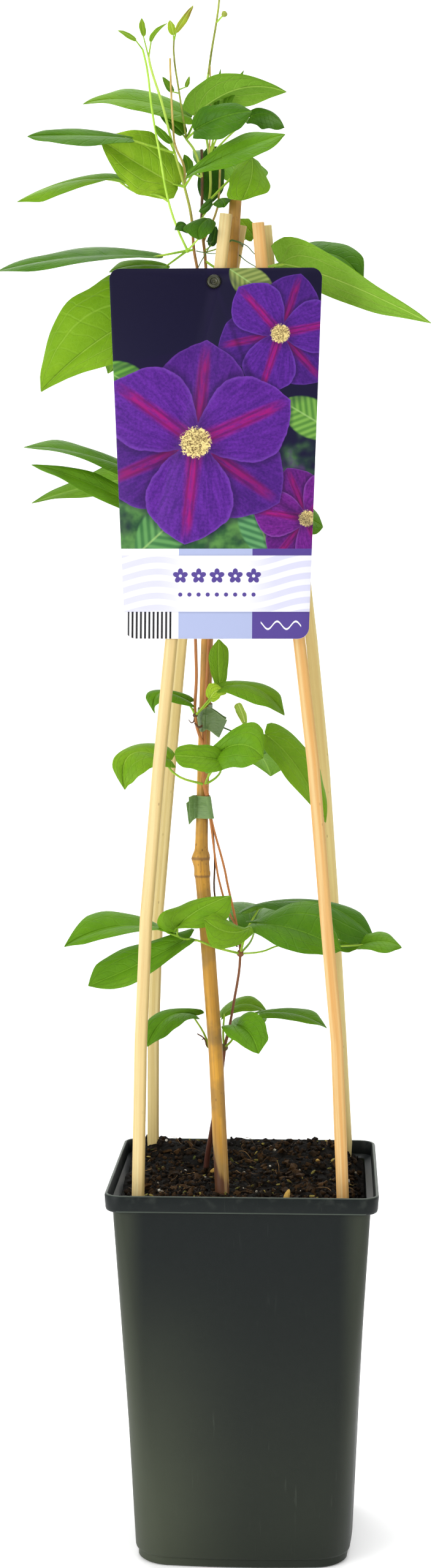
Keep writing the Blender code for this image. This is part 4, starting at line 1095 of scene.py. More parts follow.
low.leaf(0.52, [RIGHT_JOINT], (65, -4, 340), (77, -8, 343), (88, -10, 340), (71, 0, 347), (70, -14, 339),
         (81, -2, 346), (81, -16, 338))
low.leaf(0.62, [SECOND_KNOT, (0, -24, 346)], (4, -32, 354), (-8, -46, 353), (-21, -52, 361), (-2, -44, 346),
         (-4, -38, 356), (-16, -52, 346), (-15, -48, 363))
low.leaf(0.6, [SECOND_KNOT, (-17, -32, 343), (-26, -36, 347), LEFT_JOINT], (-37, -38, 352), (-27, -42, 363),
         (-7, -38, 372), (-44, -36, 362), (-30, -46, 355), (-25, -38, 370), (-10, -44, 359))
low.leaf(0.5, [(-26, -36, 347)], (-30, -34, 348), (-58, -33, 333), (-86, -36, 321), (-41, -40, 336),
         (-47, -26, 347), (-67, -40, 321), (-79, -26, 334))
low.leaf(0.5, [LEFT_JOINT], (-39, -30, 349), (-70, -26, 353), (-100, -30, 342), (-53, -36, 352),
         (-53, -18, 355), (-84, -36, 346), (-84, -18, 360))
low.leaf(0.4, [SECOND_KNOT, (3, 0, 342)], (4, 20, 346), (10, 52, 354), (18, 86, 336), (-14, 40, 356),
         (28, 42, 354), (-6, 68, 350), (32, 66, 346))
low.finish()


# middle stems, up the centre cane and behind the label

THIRD_KNOT = (-22.2, -19.3, 432)
FOURTH_KNOT = (-27.8, -15, 470.6)
LEFT_RISE = (-30.2, -10, 592)
RIGHT_RISE = (-16.8, -4.2, 589)
HIGH_LEFT = (-31.1, -6, 677)
HIGH_RIGHT = (-15.1, -4.6, 691)
MIDDLE_END_LEFT = (-27.1, -3, 718)
MIDDLE_END_RIGHT = (-22.4, -1, 718)

middle = Shoot("stem_middle")
middle.stem([(-3.2, -17.5, 345.4), (-4.6, -18, 354), (-9.7, -18.5, 377), (-11, -19, 384),
            (-18.5, -20.5, 413), (-20.8, -20.8, 426), THIRD_KNOT], 0.7, 0.65)
middle.stem([(-4.2, -18, 352), (-8.6, -18.5, 360), (-14, -21, 378), (-15.4, -21, 385), (-19.3, -20.9, 414),
            (-21.3, -20.8, 426)], 0.6, 0.6)
middle.stem([(-20.8, -20.8, 426), THIRD_KNOT, (-22.7, -15.7, 453), (-22.5, -12.9, 470), (-21.3, -9.3, 490),
            (-20.5, -6.2, 511), (-18.9, -5, 545), RIGHT_RISE, (-14.2, -4.6, 650), HIGH_RIGHT,
            (-18, -4, 703), MIDDLE_END_RIGHT], 1.3, 0.9)
middle.stem([(-22.7, -15.7, 453), (-26.4, -16.6, 463), FOURTH_KNOT, (-27.3, -11.5, 492), (-27.9, -9, 511),
            (-29, -8, 562), LEFT_RISE, (-31, -8, 630), HIGH_LEFT, (-29.1, -4, 708), MIDDLE_END_LEFT], 0.9,
            0.9)
middle.stem([(-20.6, -20.6, 424), (-17.6, -18.4, 404), (-16.8, -18, 390.2), (-16.5, -18, 368),
            (-10, -18, 348), (-4, -18, 341)], 0.5, 0.55, OLD_STEM)
middle.stem([FOURTH_KNOT, (-29.4, -17, 466.6), (-31.4, -18, 468.3)], 0.55, 0.2, OLD_STEM)
middle.stem([(-24, -18, 465), (-25.2, -20, 464.2), (-27.9, -18.6, 466.4)], 0.7, 0.5, OLD_STEM)
middle.knot(THIRD_KNOT, 1.7)
middle.knot(FOURTH_KNOT, 1.5, OLD_STEM)
middle.leaf(0.66, [THIRD_KNOT, (-39, -26, 439)], (-41, -25, 446), (-63, -24, 449), (-66, -30, 430),
            (-50, -32, 442), (-56, -16, 455), (-61, -32, 435), (-73, -24, 445))
middle.leaf(0.59, [THIRD_KNOT, (-20, -26, 437)], (-11, -38, 446.5), (-24, -45, 449), (-37, -47, 450),
            (-18, -49, 441.5), (-20, -41, 455.5), (-30, -49, 443), (-32, -44, 455.5), blunt=True)
middle.leaf(0.86, [FOURTH_KNOT, (-23, -21, 476)], (-19.4, -22.5, 480), (-15.6, -23.5, 484.6),
            (-11, -22.5, 484), (-20.2, -23, 487.6), (-14, -22.5, 480.8), blunt=True)
middle.leaf(0.55, [(-20, -26, 437)], (-18, -32, 447), (-2, -44, 456), (11, -48, 449), (-11, -38, 460),
            (-12, -44, 442), (9, -42, 467), (3, -50, 445))
middle.stem([(-22.5, -13, 467), (-16.9, -17, 465.5), (-12.7, -16, 464.1), (-6.4, -15, 461.4)], 0.5, 0.45,
            TENDRIL)
middle.leaf(1.0, [(-6.4, -15, 461.4)], (-0.0, -12, 465.7), (-1.8, -11, 471.8), (-4.2, -10, 477.2),
            (0.6, -10, 471.1), (-4.1, -12, 470.5), (-1.5, -10, 475.9), (-5.9, -11, 474.2), blunt=True)
middle.leaf(0.62, [(-6.4, -15, 461.4), (4, -12, 461)], (11, -12, 460), (29, -10, 441), (45, -6, 410),
            (28, -2, 458), (14, -18, 448), (44, 0, 433), (30, -18, 428))
middle.leaf(0.4, [THIRD_KNOT, (-16, -17, 436), (-13, -4, 441)], (-7, 18, 441), (4, 50, 446), (12, 80, 430),
            (-12, 40, 446), (18, 42, 448), (-4, 66, 442), (24, 64, 440))
middle.leaf(0.5, [FOURTH_KNOT, (-30, -15, 475)], (-31, -14, 478), (-47, -16, 483), (-50, -20, 472),
            (-38, -22, 478), (-40, -10, 484), (-49, -22, 477), (-55, -14, 482))
middle.leaf(0.6, [FOURTH_KNOT, (-19, -22, 479)], (-13, -22, 486), (6, -20, 486), (22, -20, 471),
            (-4, -14, 490), (-4, -28, 482), (17, -14, 484), (13, -28, 475))
middle.leaf(0.64, [(-19, -22, 479)], (-14, -16, 485), (-15, -12, 499), (-15, -10, 513), (-19, -14, 494),
            (-10, -12, 494), (-20, -10, 505), (-10, -8, 507))
middle.leaf(0.44, [LEFT_RISE], (-54, -8, 603), (-88, -16, 615), (-122, -22, 619), (-73, -22, 606),
            (-74, 0, 614), (-103, -28, 616), (-103, -8, 623))
middle.leaf(0.5, [LEFT_RISE], (-53, -16, 583), (-86, -24, 599), (-117, -30, 609), (-71, -26, 586),
            (-69, -16, 598), (-99, -34, 600), (-96, -22, 608))
middle.leaf(0.45, [LEFT_RISE], (-57, 4, 604), (-88, 4, 599), (-120, -4, 589), (-76, -5, 609),
            (-78, 13, 594), (-100, -5, 600), (-104, 6, 592))
middle.leaf(0.4, [LEFT_RISE, (-38, 4, 584)], (-42, 24, 586), (-48, 50, 594), (-50, 78, 586), (-64, 40, 592),
            (-32, 54, 594), (-66, 66, 590), (-38, 72, 590))
middle.leaf(0.4, [RIGHT_RISE, (-8, -6, 586)], (21, -6, 582), (34, -10, 580), (43, -14, 575), (27, 2, 588),
            (27, -14, 573), (39, -4, 584), (37, -18, 570))
middle.leaf(0.4, [RIGHT_RISE, (-8, -7, 600), (6, 4, 608), (14, 18, 614)], (8, 36, 622), (16, 60, 628),
            (24, 86, 612), (-2, 60, 630), (30, 50, 626), (6, 80, 622), (34, 74, 618))
middle.leaf(0.68, [HIGH_LEFT], (-55, -4, 694), (-85, -10, 676), (-113, -16, 650), (-64, -16, 667),
            (-88, 0, 710), (-93, -20, 659), (-111, -6, 679))
middle.leaf(0.45, [HIGH_LEFT, (-30, 10, 682)], (-36, 32, 690), (-58, 58, 690), (-84, 76, 668),
            (-60, 34, 690), (-36, 58, 696), (-82, 58, 680), (-62, 80, 682))
middle.leaf(0.45, [HIGH_RIGHT, (-4, -5, 692), (3, 6, 696)], (4, 28, 702), (8, 60, 706), (16, 92, 690),
            (-10, 48, 708), (24, 46, 706), (-2, 76, 702), (28, 76, 700))
middle.finish()


# left shoot at the top

LEFT_KNOT = (-30.4, -4, 747)
LEAF_KNOT_LEFT = (-34.1, -5, 763)
SIDE_KNOT_LEFT = (-39.3, -8, 781)
FAN_KNOT = (-32.6, -3, 728.5)
LOOP_KNOT = (-42.9, -6, 755)
FORK = (-53.2, -14, 832)
TIP_LEFT = (-56.4, -14, 836)

left = Shoot("shoot_left")
left.stem([(-27.1, -3, 718.4), (-29, -3, 729), LEFT_KNOT, LEAF_KNOT_LEFT, SIDE_KNOT_LEFT, (-46.2, -14, 808),
          (-52.2, -14, 827), FORK], 0.85, 0.65)
left.stem([(-28.6, -3, 729.6), (-30.4, -3.4, 728.6), FAN_KNOT], 0.6, 0.7, YOUNG_STEM)
left.stem([FAN_KNOT, (-28.9, -10, 731), (-25.2, -18.6, 733.2)], 0.6, 0.45, YOUNG_STEM)
left.stem([FAN_KNOT, (-37.9, -5, 740), LOOP_KNOT, (-47.5, -13, 781), (-51.3, -15, 803), (-54.1, -14.5, 826),
          TIP_LEFT], 0.72, 0.6, YOUNG_STEM)
left.stem([LEAF_KNOT_LEFT, (-34.4, -3, 774), (-39.3, -4, 786), (-40, -9, 793), (-41, -12.5, 815),
          (-41.6, -12, 831.6)], 0.7, 0.6, DRY_STEM)
left.knot(FAN_KNOT, 1.5, YOUNG_STEM)
left.leaf(0.36, [FAN_KNOT], (-47, 0, 725), (-89, -10, 724), (-137, -16, 716), (-74, -16, 722),
          (-73, 6, 731), (-113, -26, 716), (-113, -4, 727))
left.leaf(0.62, [FAN_KNOT], (-43, 8, 721), (-61, 9, 722), (-77, 6, 718), (-60, 2, 718), (-60, 15, 726))
left.leaf(0.76, [LEAF_KNOT_LEFT], (-38, 0, 764), (-60, -4, 776), (-81, -8, 789), (-57, -8, 758),
          (-45, 2, 787), (-71, -12, 769), (-60, -6, 794))
left.leaf(0.5, [LEAF_KNOT_LEFT], (-32, -14, 767), (-5, -26, 778), (22, -28, 787), (-19, -20, 779),
          (-16, -32, 768), (3, -22, 789), (9, -34, 775))
left.leaf(0.5, [LEAF_KNOT_LEFT], (-33, 4, 772), (-33, 8, 778), (-35, 8, 783), (-36, 8, 777), (-30, 8, 777))
left.leaf(0.38, [SIDE_KNOT_LEFT], (-63, -14, 788), (-91, -19, 789), (-119, -23, 788), (-78, -26, 783),
          (-79, -12, 792), (-105, -29, 783), (-106, -18, 793))
left.leaf(0.5, [SIDE_KNOT_LEFT], (-41, -14, 785), (-45, -18, 789), (-49, -20, 794), (-47, -18, 788),
          (-42, -16, 789))
left.leaf(0.62, [LOOP_KNOT, (-48, -6, 758), (-61, -8, 760)], (-66, -10, 764), (-94, -16, 765),
          (-125, -22, 753), (-81, -18, 764), (-80, -6, 770), (-106, -26, 754), (-106, -14, 763))
left.leaf(0.45, [LEAF_KNOT_LEFT, (-40, 8, 768)], (-46, 22, 776), (-62, 46, 790), (-74, 64, 788),
          (-66, 28, 789), (-50, 56, 792), (-76, 46, 789), (-62, 68, 790))
left.leaf(0.76, [TIP_LEFT], (-60, -14, 841), (-65, -15, 844), (-70, -16, 846), (-64, -16, 841.6),
          (-63, -14, 844.4))
left.leaf(0.8, [FORK], (-56, -14, 843), (-57, -14, 848), (-57, -14, 853), (-58.2, -15, 847),
          (-55, -13, 848))
left.leaf(0.74, [FORK], (-52, -14, 840), (-49, -14, 845), (-43, -14, 850), (-51.8, -13, 844.8),
          (-49.4, -15, 843.2))
left.finish()


# right shoots at the top

DARK_KNOT = (-25, 2, 747)
HIGH_FORK = (-24.7, 4, 769.5)
CROWN_KNOT = (-33.4, 0, 790)
TALL_KNOT = (-21, 6, 781)
TIP_MIDDLE = (-39.7, -8, 842)
BUD_KNOT = (-16.9, 4, 854)

right = Shoot("shoot_right")
right.stem([(-22.4, -1, 718.4), (-23.2, 1, 728), (-24, 2, 734), DARK_KNOT], 0.9, 0.9)
right.stem([DARK_KNOT, HIGH_FORK, (-25.1, 4, 785)], 0.85, 0.75, OLD_STEM)
right.stem([HIGH_FORK, (-29, 1, 784), CROWN_KNOT], 0.75, 0.7)
right.stem([CROWN_KNOT, (-34, -4, 795), (-36.6, -10, 813), (-39.7, -9, 835), TIP_MIDDLE], 0.6, 0.5,
           OLIVE_STEM)
right.stem([DARK_KNOT, (-21, 5, 757), TALL_KNOT, (-23, 13, 795), (-24.4, 20, 815), (-22, 18, 829)], 0.8,
           0.72)
right.stem([(-24.4, 20, 815), (-22, 18, 829), (-19.8, 10, 840), BUD_KNOT, (-15.3, 3, 865.5),
           (-14.8, 3, 873)], 0.72, 0.5, OLIVE_STEM)
right.stem([(-24, 2, 734), (-16.6, 8, 753), (-15.7, 9, 760), (-15.1, 10, 776)], 0.7, 0.6, DRY_STEM)
right.stem([TALL_KNOT, (-20.4, 9, 800), (-20.6, 10, 831.7)], 0.5, 0.4, DRY_STEM)
# thin tendrils that cling across to the canes
right.stem([(-19.3, -2, 733.3), (-20.5, -2, 730.6), (-26.5, -3, 719.5), (-28.5, -3.4, 714)], 0.3, 0.28,
           TENDRIL)
right.stem([(-22.4, -1, 734), (-19.3, -2, 733.3), (-17.6, 4, 741)], 0.32, 0.28, TENDRIL)
right.stem([(-27.8, -2.6, 728.3), (-22, -4, 727), (-15.6, -11.4, 725.6)], 0.32, 0.26, TENDRIL)
right.stem([(-3.6, 8.4, 733.6), (-1.6, 5.5, 733), (4.8, -9, 725.6)], 0.34, 0.28, TENDRIL)
right.stem([(-3.9, 2, 726.5), (0, -3, 722.6), (5.8, -9.6, 718.4)], 0.34, 0.28, TENDRIL)
right.stem([(-10.9, -3.6, 731.6), (-8.5, -4.6, 733.6), (-5.2, -3.5, 733.2), (-2.6, 3, 732.8),
           (-2.5, 9.6, 732.4), (-4.6, 13.4, 732.6), (-8.9, 13.2, 733.4)], 0.62, 0.4, TENDRIL)
right.stem([BUD_KNOT, (-14.3, 3, 856.6), (-12.5, 2, 858)], 0.55, 0.5, YOUNG_STEM)
right.knot((-12.3, 2, 858.2), 1.8, OLIVE_STEM)
right.leaf(0.6, [(-22.8, 0, 723), (-15, -5, 718), (-8, -5, 717), (1, -3, 718), (13, 1, 720)], (18, 4, 722),
           (52, 2, 712), (102, -12, 687), (31, 14, 710), (36, -2, 731), (68, 4, 696), (77, -14, 705))
right.leaf(0.35, [(13, 1, 720), (22, 12, 724)], (29, 20, 726), (50, 26, 729), (65, 24, 713), (42, 32, 738),
           (42, 18, 720), (63, 32, 731), (56, 20, 717))
right.leaf(0.72, [(-23.2, 1, 728), (-18, 12, 731)], (3.5, 18, 738.3), (-0.3, 18, 743.7), (-4.7, 17, 748.4),
           (-1.6, 16, 738.4), (3.1, 20, 746.7))
right.leaf(0.34, [DARK_KNOT, (-23, -4, 746)], (-20, -10, 745), (-25, -18, 739), (-25, -20, 732),
           (-18, -18, 737), (-33, -18, 740))
right.leaf(0.25, [DARK_KNOT, (-26, -5, 743)], (-31, -12, 739), (-35, -14, 741), (-39, -14, 738),
           (-35, -17, 737), (-35, -12, 743))
right.leaf(0.3, [DARK_KNOT, (-20, 1, 753)], (-16, 2, 757), (-13, -6, 755), (-12, -9, 751), (-9, -2, 757),
           (-17, -6, 752))
right.leaf(0.3, [DARK_KNOT, (-21, 0, 753)], (-19, 0, 756), (-22, -6, 752), (-26, -8, 749), (-21, -8, 749),
           (-22, -2, 756))
right.leaf(0.66, [(-21, 5, 757), (-1, 4, 776)], (3, 2, 780), (3, -8, 767), (-2, -14, 754), (12, -8, 767),
           (-8, -4, 769), (11, -14, 758), (-10, -12, 757))
right.leaf(0.2, [TALL_KNOT, (-19, 9, 787)], (-18, 12, 788), (-20, 12, 773), (-21, 11, 756), (-13, 14, 777),
           (-27, 12, 777), (-14, 14, 764), (-27, 12, 763))
right.leaf(0.32, [TALL_KNOT, (-10, 8, 793)], (2, 2, 802), (12, 0, 803), (21, -4, 795), (7, 8, 808),
           (6, -6, 796), (16, 4, 804), (14, -8, 793))
right.leaf(0.4, [HIGH_FORK, (-30, 12, 774)], (-22, 24, 779), (-14, 50, 788), (-2, 78, 772), (-32, 42, 790),
           (2, 40, 786), (-22, 66, 784), (10, 62, 778))
right.leaf(0.58, [CROWN_KNOT], (-31, 2, 802), (-62, -1, 811), (-90, -8, 808), (-48, -9, 801),
           (-50, 11, 817), (-73, -11, 807), (-75, 3, 817))
right.leaf(0.56, [CROWN_KNOT], (-29, 2, 803), (-4, 4, 818), (22, 4, 816), (-16, 16, 809), (-24, -2, 821),
           (6, 14, 812), (2, -2, 824))
right.leaf(0.33, [CROWN_KNOT], (-28, -14, 792), (-12, -26, 797), (4, -30, 799), (-20, -20, 804),
           (-18, -28, 785), (-5, -26, 804), (-4, -32, 788))
right.leaf(0.4, [CROWN_KNOT], (-35, -3, 792), (-41, 0, 798), (-48, 3, 803), (-41, -3, 794), (-35, 1, 799))
right.leaf(1.0, [TIP_MIDDLE], (-39, -8, 846), (-34, -8, 854), (-29, -8, 861), (-37, -9, 852),
           (-33, -7, 852))
right.leaf(0.96, [TIP_MIDDLE], (-40, -8, 845), (-41, -8, 849), (-42, -8, 853), (-43, -9, 848),
           (-39, -7, 849))
# small leaves and leaf tips that show past the crown
right.leaf(0.52, [(-36.6, -10, 813)], (-40.4, -10, 813.6), (-43.6, -9, 818), (-46, -8, 822.4),
           (-43.6, -10, 815.4), (-41, -8, 818.4))
right.leaf(0.66, [(-36.9, -10, 815)], (-33.2, -6, 817), (-32.4, -5, 820), (-31.4, -4, 823.4),
           (-33.6, -5, 819.4), (-31.4, -5, 819))
right.leaf(0.45, [TALL_KNOT, (-18, 9, 796)], (-17, 9.6, 808), (-15.9, 10, 820), (-14.8, 10, 830),
           (-18.4, 10, 814), (-15, 10, 815))
right.leaf(0.5, [TALL_KNOT, (-15, 9, 798)], (-13, 9.6, 808), (-7.6, 10, 820), (-1.8, 10, 829.2),
           (-12, 10, 815), (-8.4, 10, 812))
right.leaf(0.12, [(-22.8, 0, 729)], (-19.4, -1, 731), (-18, -2, 736), (-16.8, -1, 742), (-21.2, -1, 735.6),
           (-15.6, -1, 735))
right.finish()


# Ties
# Soft green tying tape: a thin polythene ribbon, pulled tight round what it holds and creased. The
# two ends are pressed together and stand off to one side.
TAPE_WIDTH = 0.0125
TAPE_THICKNESS = 0.00035
TAPE_END = 0.16  # the share of its length that each loose end takes
TAPE_ROWS = 12
TAPE_COLUMNS = 90

tape = Paint("tying_tape")
spot = tape.place()
run, height, _ = tape.parts(tape.attribute("local"))
crease = tape.noise(tape.stretched(spot, (260.0, 260.0, 700.0)), 1.0, 3, 0.6)
streaks = tape.noise(tape.vector(run * 900, height * 60), 1.0, 2)
tone = tape.over(
    tape.mix((streaks * 0.7 + crease * 0.4).smooth(0.35, 0.75), rgb(86, 118, 62), rgb(116, 146, 84)),
    # painted shade: darker along the creases
    (crease.smooth(0.62, 0.80) * 0.35, rgb(52, 74, 36)),
    (tape.parts(spot)[2].smooth(0.44, 0.46) * 0.5, rgb(66, 84, 38)),
    # painted highlight: paler along the ribbon's two long edges
    (abs(height - 0.5).smooth(0.44, 0.5) * 0.4, rgb(142, 168, 106)),
)
TAPE_GREEN = tape.finish(base_color=tone, roughness=0.32 + crease * 0.25, normal=tape.bump(crease, 0.0004),
                         specular_ior_level=0.4)


def at_height(points, level):
    """The place in metres where a rising line of points in millimetres passes a level in metres."""
    line = [Vector(p) / 1000 for p in points]
    for low, high in zip(line, line[1:]):
        if low.z <= level <= high.z:
            return low.lerp(high, (level - low.z) / (high.z - low.z))
    return line[-1]


def round_all(rounds, turn):
    """The point where a taut ribbon round some circles faces a way. A circle is its middle and radius."""
    way = Vector((math.cos(turn), math.sin(turn), 0))
    middle, radius = max(rounds, key=lambda one: one[0].dot(way) + one[1])
    return middle + radius * way, way


def ribbon(name, node, low, held, facing, ends, tilt=0.0):
    """A tied ribbon. held gives the circles it goes round at a level, and facing is where its two ends
    leave them. ends are the far corners of the ends, low and high, in millimetres."""
    fresh()
    bpy.ops.mesh.primitive_grid_add(x_subdivisions=TAPE_COLUMNS, y_subdivisions=TAPE_ROWS, size=2)
    strip = bpy.context.object
    strip.name = name
    bpy.ops.object.mode_set(mode="EDIT")
    shape = bmesh.from_edit_mesh(strip.data)
    local = shape.verts.layers.float_vector.new("local")
    for vertex in shape.verts:
        run, rise = (vertex.co.x + 1) / 2, (vertex.co.y + 1) / 2
        level = low + rise * TAPE_WIDTH
        vertex[local] = (run * 0.05, rise, 0)
        loop = min(1.0, max(0.0, (run - TAPE_END) / (1 - 2 * TAPE_END)))
        turn = facing + 0.12 + (2 * math.pi - 0.24) * loop
        point, way = round_all(held(level), turn)
        point.z = level + tilt * math.sin(turn - facing)
        wrinkle = noise.noise(Vector((run * 16, rise * 3, low * 90)))
        wrinkle += 0.6 * noise.noise(Vector((run * 40, rise * 9, 3)))
        point += way * (TAPE_THICKNESS * 0.8 + 0.00022 * (1 + wrinkle))
        loose = max((TAPE_END - run) / TAPE_END, (run - 1 + TAPE_END) / TAPE_END, 0.0)
        if loose > 0:
            corners = ends[0] if run < 0.5 else ends[1]
            far = (Vector(corners[0]) / 1000).lerp(Vector(corners[1]) / 1000, rise)
            sag = Vector((0, -0.0006 * math.sin(math.pi * loose), 0.0004 * math.sin(5 * loose)))
            point = point.lerp(far, loose) + sag + way * (0.0003 * wrinkle * loose)
        vertex.co = point
    bmesh.update_edit_mesh(strip.data)
    bpy.ops.object.mode_set(mode="OBJECT")
    changed(strip, "SOLIDIFY", thickness=TAPE_THICKNESS, offset=0)
    shade(strip, 50)
    strip.data.materials.append(TAPE_GREEN)
    fit(strip, "tape_green", node)


TIED_STEMS = [
    (-18.5, -20.5, 411), (-21.2, -20.9, 428), (-22.7, -15.7, 453), (-22.5, -12.9, 470), (-21.3, -9.3, 490),
]


def cane_and_stems(level):
    cane, stems = at_height(CENTRE_LINE, level), at_height(TIED_STEMS, level)
    return [(Vector((cane.x, cane.y, 0)), CENTRE_RADIUS + 0.0001), (Vector((stems.x, stems.y, 0)), 0.0013)]


def four_canes(level):
    """The canes' corners, as small circles."""
    half_x, half_y = CANE_WIDTH / 2 - 0.0008, CANE_DEPTH / 2 - 0.0008
    middles = [at_height(points, level) for points in CANE_LINES.values()]
    return [(Vector((cane.x + sx * half_x, cane.y + sy * half_y, 0)), 0.0009)
            for cane in middles for sx in (-1, 1) for sy in (-1, 1)]


ribbon("tape_lower", "tie_lower", 0.4133, cane_and_stems, math.radians(215), (
    ((-31.0, -21.5, 410.2), (-32.6, -21.0, 422.4)),
    ((-30.2, -22.6, 411.0), (-31.0, -22.6, 426.0)),
))
ribbon("tape_upper", "tie_upper", 0.4630, cane_and_stems, math.radians(-52), (
    ((-15.0, -19.0, 459.4), (-10.2, -17.5, 470.0)),
    ((-14.2, -21.0, 458.8), (-9.6, -20.5, 468.6)),
), tilt=0.0016)
ribbon("tape_top", "tie_top", 0.6755, four_canes, math.radians(120), (
    ((-20.0, 24.5, 676), (-19.0, 24.0, 687)),
    ((-19.0, 25.5, 675), (-18.0, 25.2, 688)),
))


# Label
# A care label of white polypropylene sheet, printed on its front and die cut with round corners.
# It leans back on the front left cane, and a hole punched near its top takes the stud.
LABEL_HEIGHT = 0.2045
LABEL_TOP_HALF = 0.0587
LABEL_FOOT_HALF = 0.0501
LABEL_TOP_SHIFT = -0.0018
LABEL_CORNER = 0.006
LABEL_THICKNESS = 0.0009
LABEL_HOLE = (-0.0026, 0.197)
HOLE_RADIUS = 0.004
LABEL_PLACE = Matrix.Translation((-0.0145, -0.0432, 0.5137)) @ Matrix.Rotation(-math.atan(0.124), 4, "X")

fresh()
bpy.ops.mesh.primitive_plane_add(size=1)
label = bpy.context.object
label.name = "care_label"
bpy.ops.object.mode_set(mode="EDIT")
shape = bmesh.from_edit_mesh(label.data)
for vertex in shape.verts:
    side = 1 if vertex.co.x > 0 else -1
    if vertex.co.y > 0:
        vertex.co = (LABEL_TOP_SHIFT + side * LABEL_TOP_HALF, 0, LABEL_HEIGHT)
    else:
        vertex.co = (side * LABEL_FOOT_HALF, 0, 0)
bmesh.update_edit_mesh(label.data)
bpy.ops.mesh.bevel(offset=LABEL_CORNER, segments=8, affect="VERTICES")
bpy.ops.mesh.select_all(action="SELECT")
bpy.ops.mesh.extrude_region_move(TRANSFORM_OT_translate={"value": (0, -LABEL_THICKNESS, 0)})
bpy.ops.mesh.select_all(action="SELECT")
bpy.ops.mesh.normals_make_consistent(inside=False)
bpy.ops.object.mode_set(mode="OBJECT")
fresh()
bpy.ops.mesh.primitive_cylinder_add(vertices=48, radius=HOLE_RADIUS, depth=0.01,
                                    rotation=(math.pi / 2, 0, 0),
                                    location=(LABEL_HOLE[0], 0, LABEL_HOLE[1]))
cut_away(label, bpy.context.object)
round_edges(label, 0.00012, 60)
local = label.data.attributes.new("local", "FLOAT_VECTOR", "POINT")
for vertex, measure in zip(label.data.vertices, local.data):
    measure.vector = vertex.co
label.data.transform(LABEL_PLACE)
shade(label, 30)

# the print, in millimetres across and up from the middle of the label's foot
ink = Paint("label_print")
across, deep, up = [axis * 1000 for axis in ink.parts(ink.attribute("local"))]
flat = ink.vector(across, up)
cloud = ink.noise(flat, 0.035, 3, 0.55)
haze = ink.noise(flat, 0.09, 3, 0.5)
quilt = ink.noise(flat, 0.7, 4, 0.6)


def blossom(picture, centre, radius, turn, tint):
    """Paints a six-petalled blossom in two layers of three over a picture."""
    x, z = (across - centre[0]) / radius, (up - centre[1]) / radius
    from_centre = (x * x + z * z) ** 0.5
    for layer, lift in ((1, 0.72), (0, 1.0)):
        angle = ink.maths("ARCTAN2", z, x) - turn - layer * math.pi / 3
        petal = ink.maths("ROUND", angle / (2 * math.pi / 3))
        fold = angle - petal * (2 * math.pi / 3)
        along = from_centre * ink.maths("COSINE", fold)
        beside = from_centre * ink.maths("SINE", fold)
        reach = along.most(0.0).least(1.0)
        half = 0.76 * reach ** 0.65 * (1 - reach ** 3) + (haze - 0.5) * 0.07 * (along > 0) * (along < 1)
        inside = half - abs(beside)
        picture = ink.mix(inside.smooth(-0.09, 0.01) * 0.5 * (along > 0.1), picture, rgb(22, 14, 48))
        rays_run = ink.vector(beside * 24 / (along + 0.35), along * 5, petal * 7.3 + layer)
        vein = ink.noise(rays_run, 1.0, 3, 0.6)
        bar = 1 - abs(beside).smooth(0.02, 0.115 - along * 0.05)
        rays = vein.smooth(0.35, 0.62)
        groove = 1 - abs(abs(beside) - 0.035).smooth(0.004, 0.02)
        silk = ink.over(
            ink.mix((quilt * 0.55 + vein * 0.55 - 0.05).smooth(0.3, 0.75), tint[0], tint[1]),
            (inside.smooth(0.05, 0.0) * 0.45, tint[2]),
            (bar * (0.35 + rays * 0.6) * along.smooth(1.0, 0.72), rgb(146, 18, 104)),
            (groove * 0.45 * along.smooth(1.0, 0.6), rgb(74, 12, 66)),
            (along.smooth(0.30, 0.05) * 0.6, rgb(34, 12, 50)),
            (1 - lift, rgb(26, 14, 60)),
        )
        picture = ink.mix(inside.smooth(0.0, 0.012), picture, silk)
    threads = ink.noise(ink.vector(x * 26, z * 26), 1.0, 4, 0.7, 1.5)
    crown = (0.15 + (threads - 0.5) * 0.16 - from_centre).smooth(0.0, 0.02)
    straw = ink.mix(threads.smooth(0.38, 0.62), rgb(92, 70, 40), rgb(232, 210, 140))
    return ink.mix(crown, picture, straw)


def spray_leaf(picture, centre, length, turn, tones):
    """Paints a pointed leaf, a little out of focus, over a picture."""
    x, z = across - centre[0], up - centre[1]
    along = (x * math.cos(turn) + z * math.sin(turn)) / length
    beside = (z * math.cos(turn) - x * math.sin(turn)) / length
    half = 0.30 * (4 * along * (1 - along)).most(0.0) ** 0.7
    inside = (half - abs(beside)).smooth(-0.012, 0.03) * (along > 0) * (along < 1)
    ribs = abs(beside) * 7 - along * 9
    ribs = abs(ribs - ink.maths("ROUND", ribs))
    green = ink.mix(ribs.smooth(0.05, 0.45) * 0.6 + haze * 0.4, tones[0], tones[1])
    green = ink.mix(abs(beside).smooth(0.022, 0.0) * 0.6, green, rgb(150, 186, 110))
    return ink.mix(inside, picture, green)


dusk = ink.mix(up.smooth(120, 200), rgb(20, 18, 46), rgb(15, 12, 39))
garden = ink.mix(haze.smooth(0.35, 0.65), rgb(34, 74, 44), rgb(84, 132, 66))
picture = ink.over(
    dusk,
    ((cloud * 1.5 + (112 - up) / 130 - 0.55).smooth(0.25, 0.6), garden),
    ((cloud - haze * 0.4).smooth(0.36, 0.5) * up.smooth(150, 70) * 0.6, rgb(96, 26, 122)),
)
for centre, length, turn, tones in (
    ((-66, 150), 34, -0.5, (rgb(52, 104, 40), rgb(104, 156, 60))),
    ((-44, 46), 44, 0.75, (rgb(40, 92, 50), rgb(96, 150, 84))),
    ((30, 44), 40, 1.9, (rgb(36, 88, 56), rgb(100, 156, 100))),
    ((66, 112), 36, 2.6, (rgb(60, 110, 44), rgb(120, 166, 74))),
    ((6, 204), 30, -0.6, (rgb(84, 104, 48), rgb(140, 152, 84))),
):
    picture = spray_leaf(picture, centre, length, turn, tones)
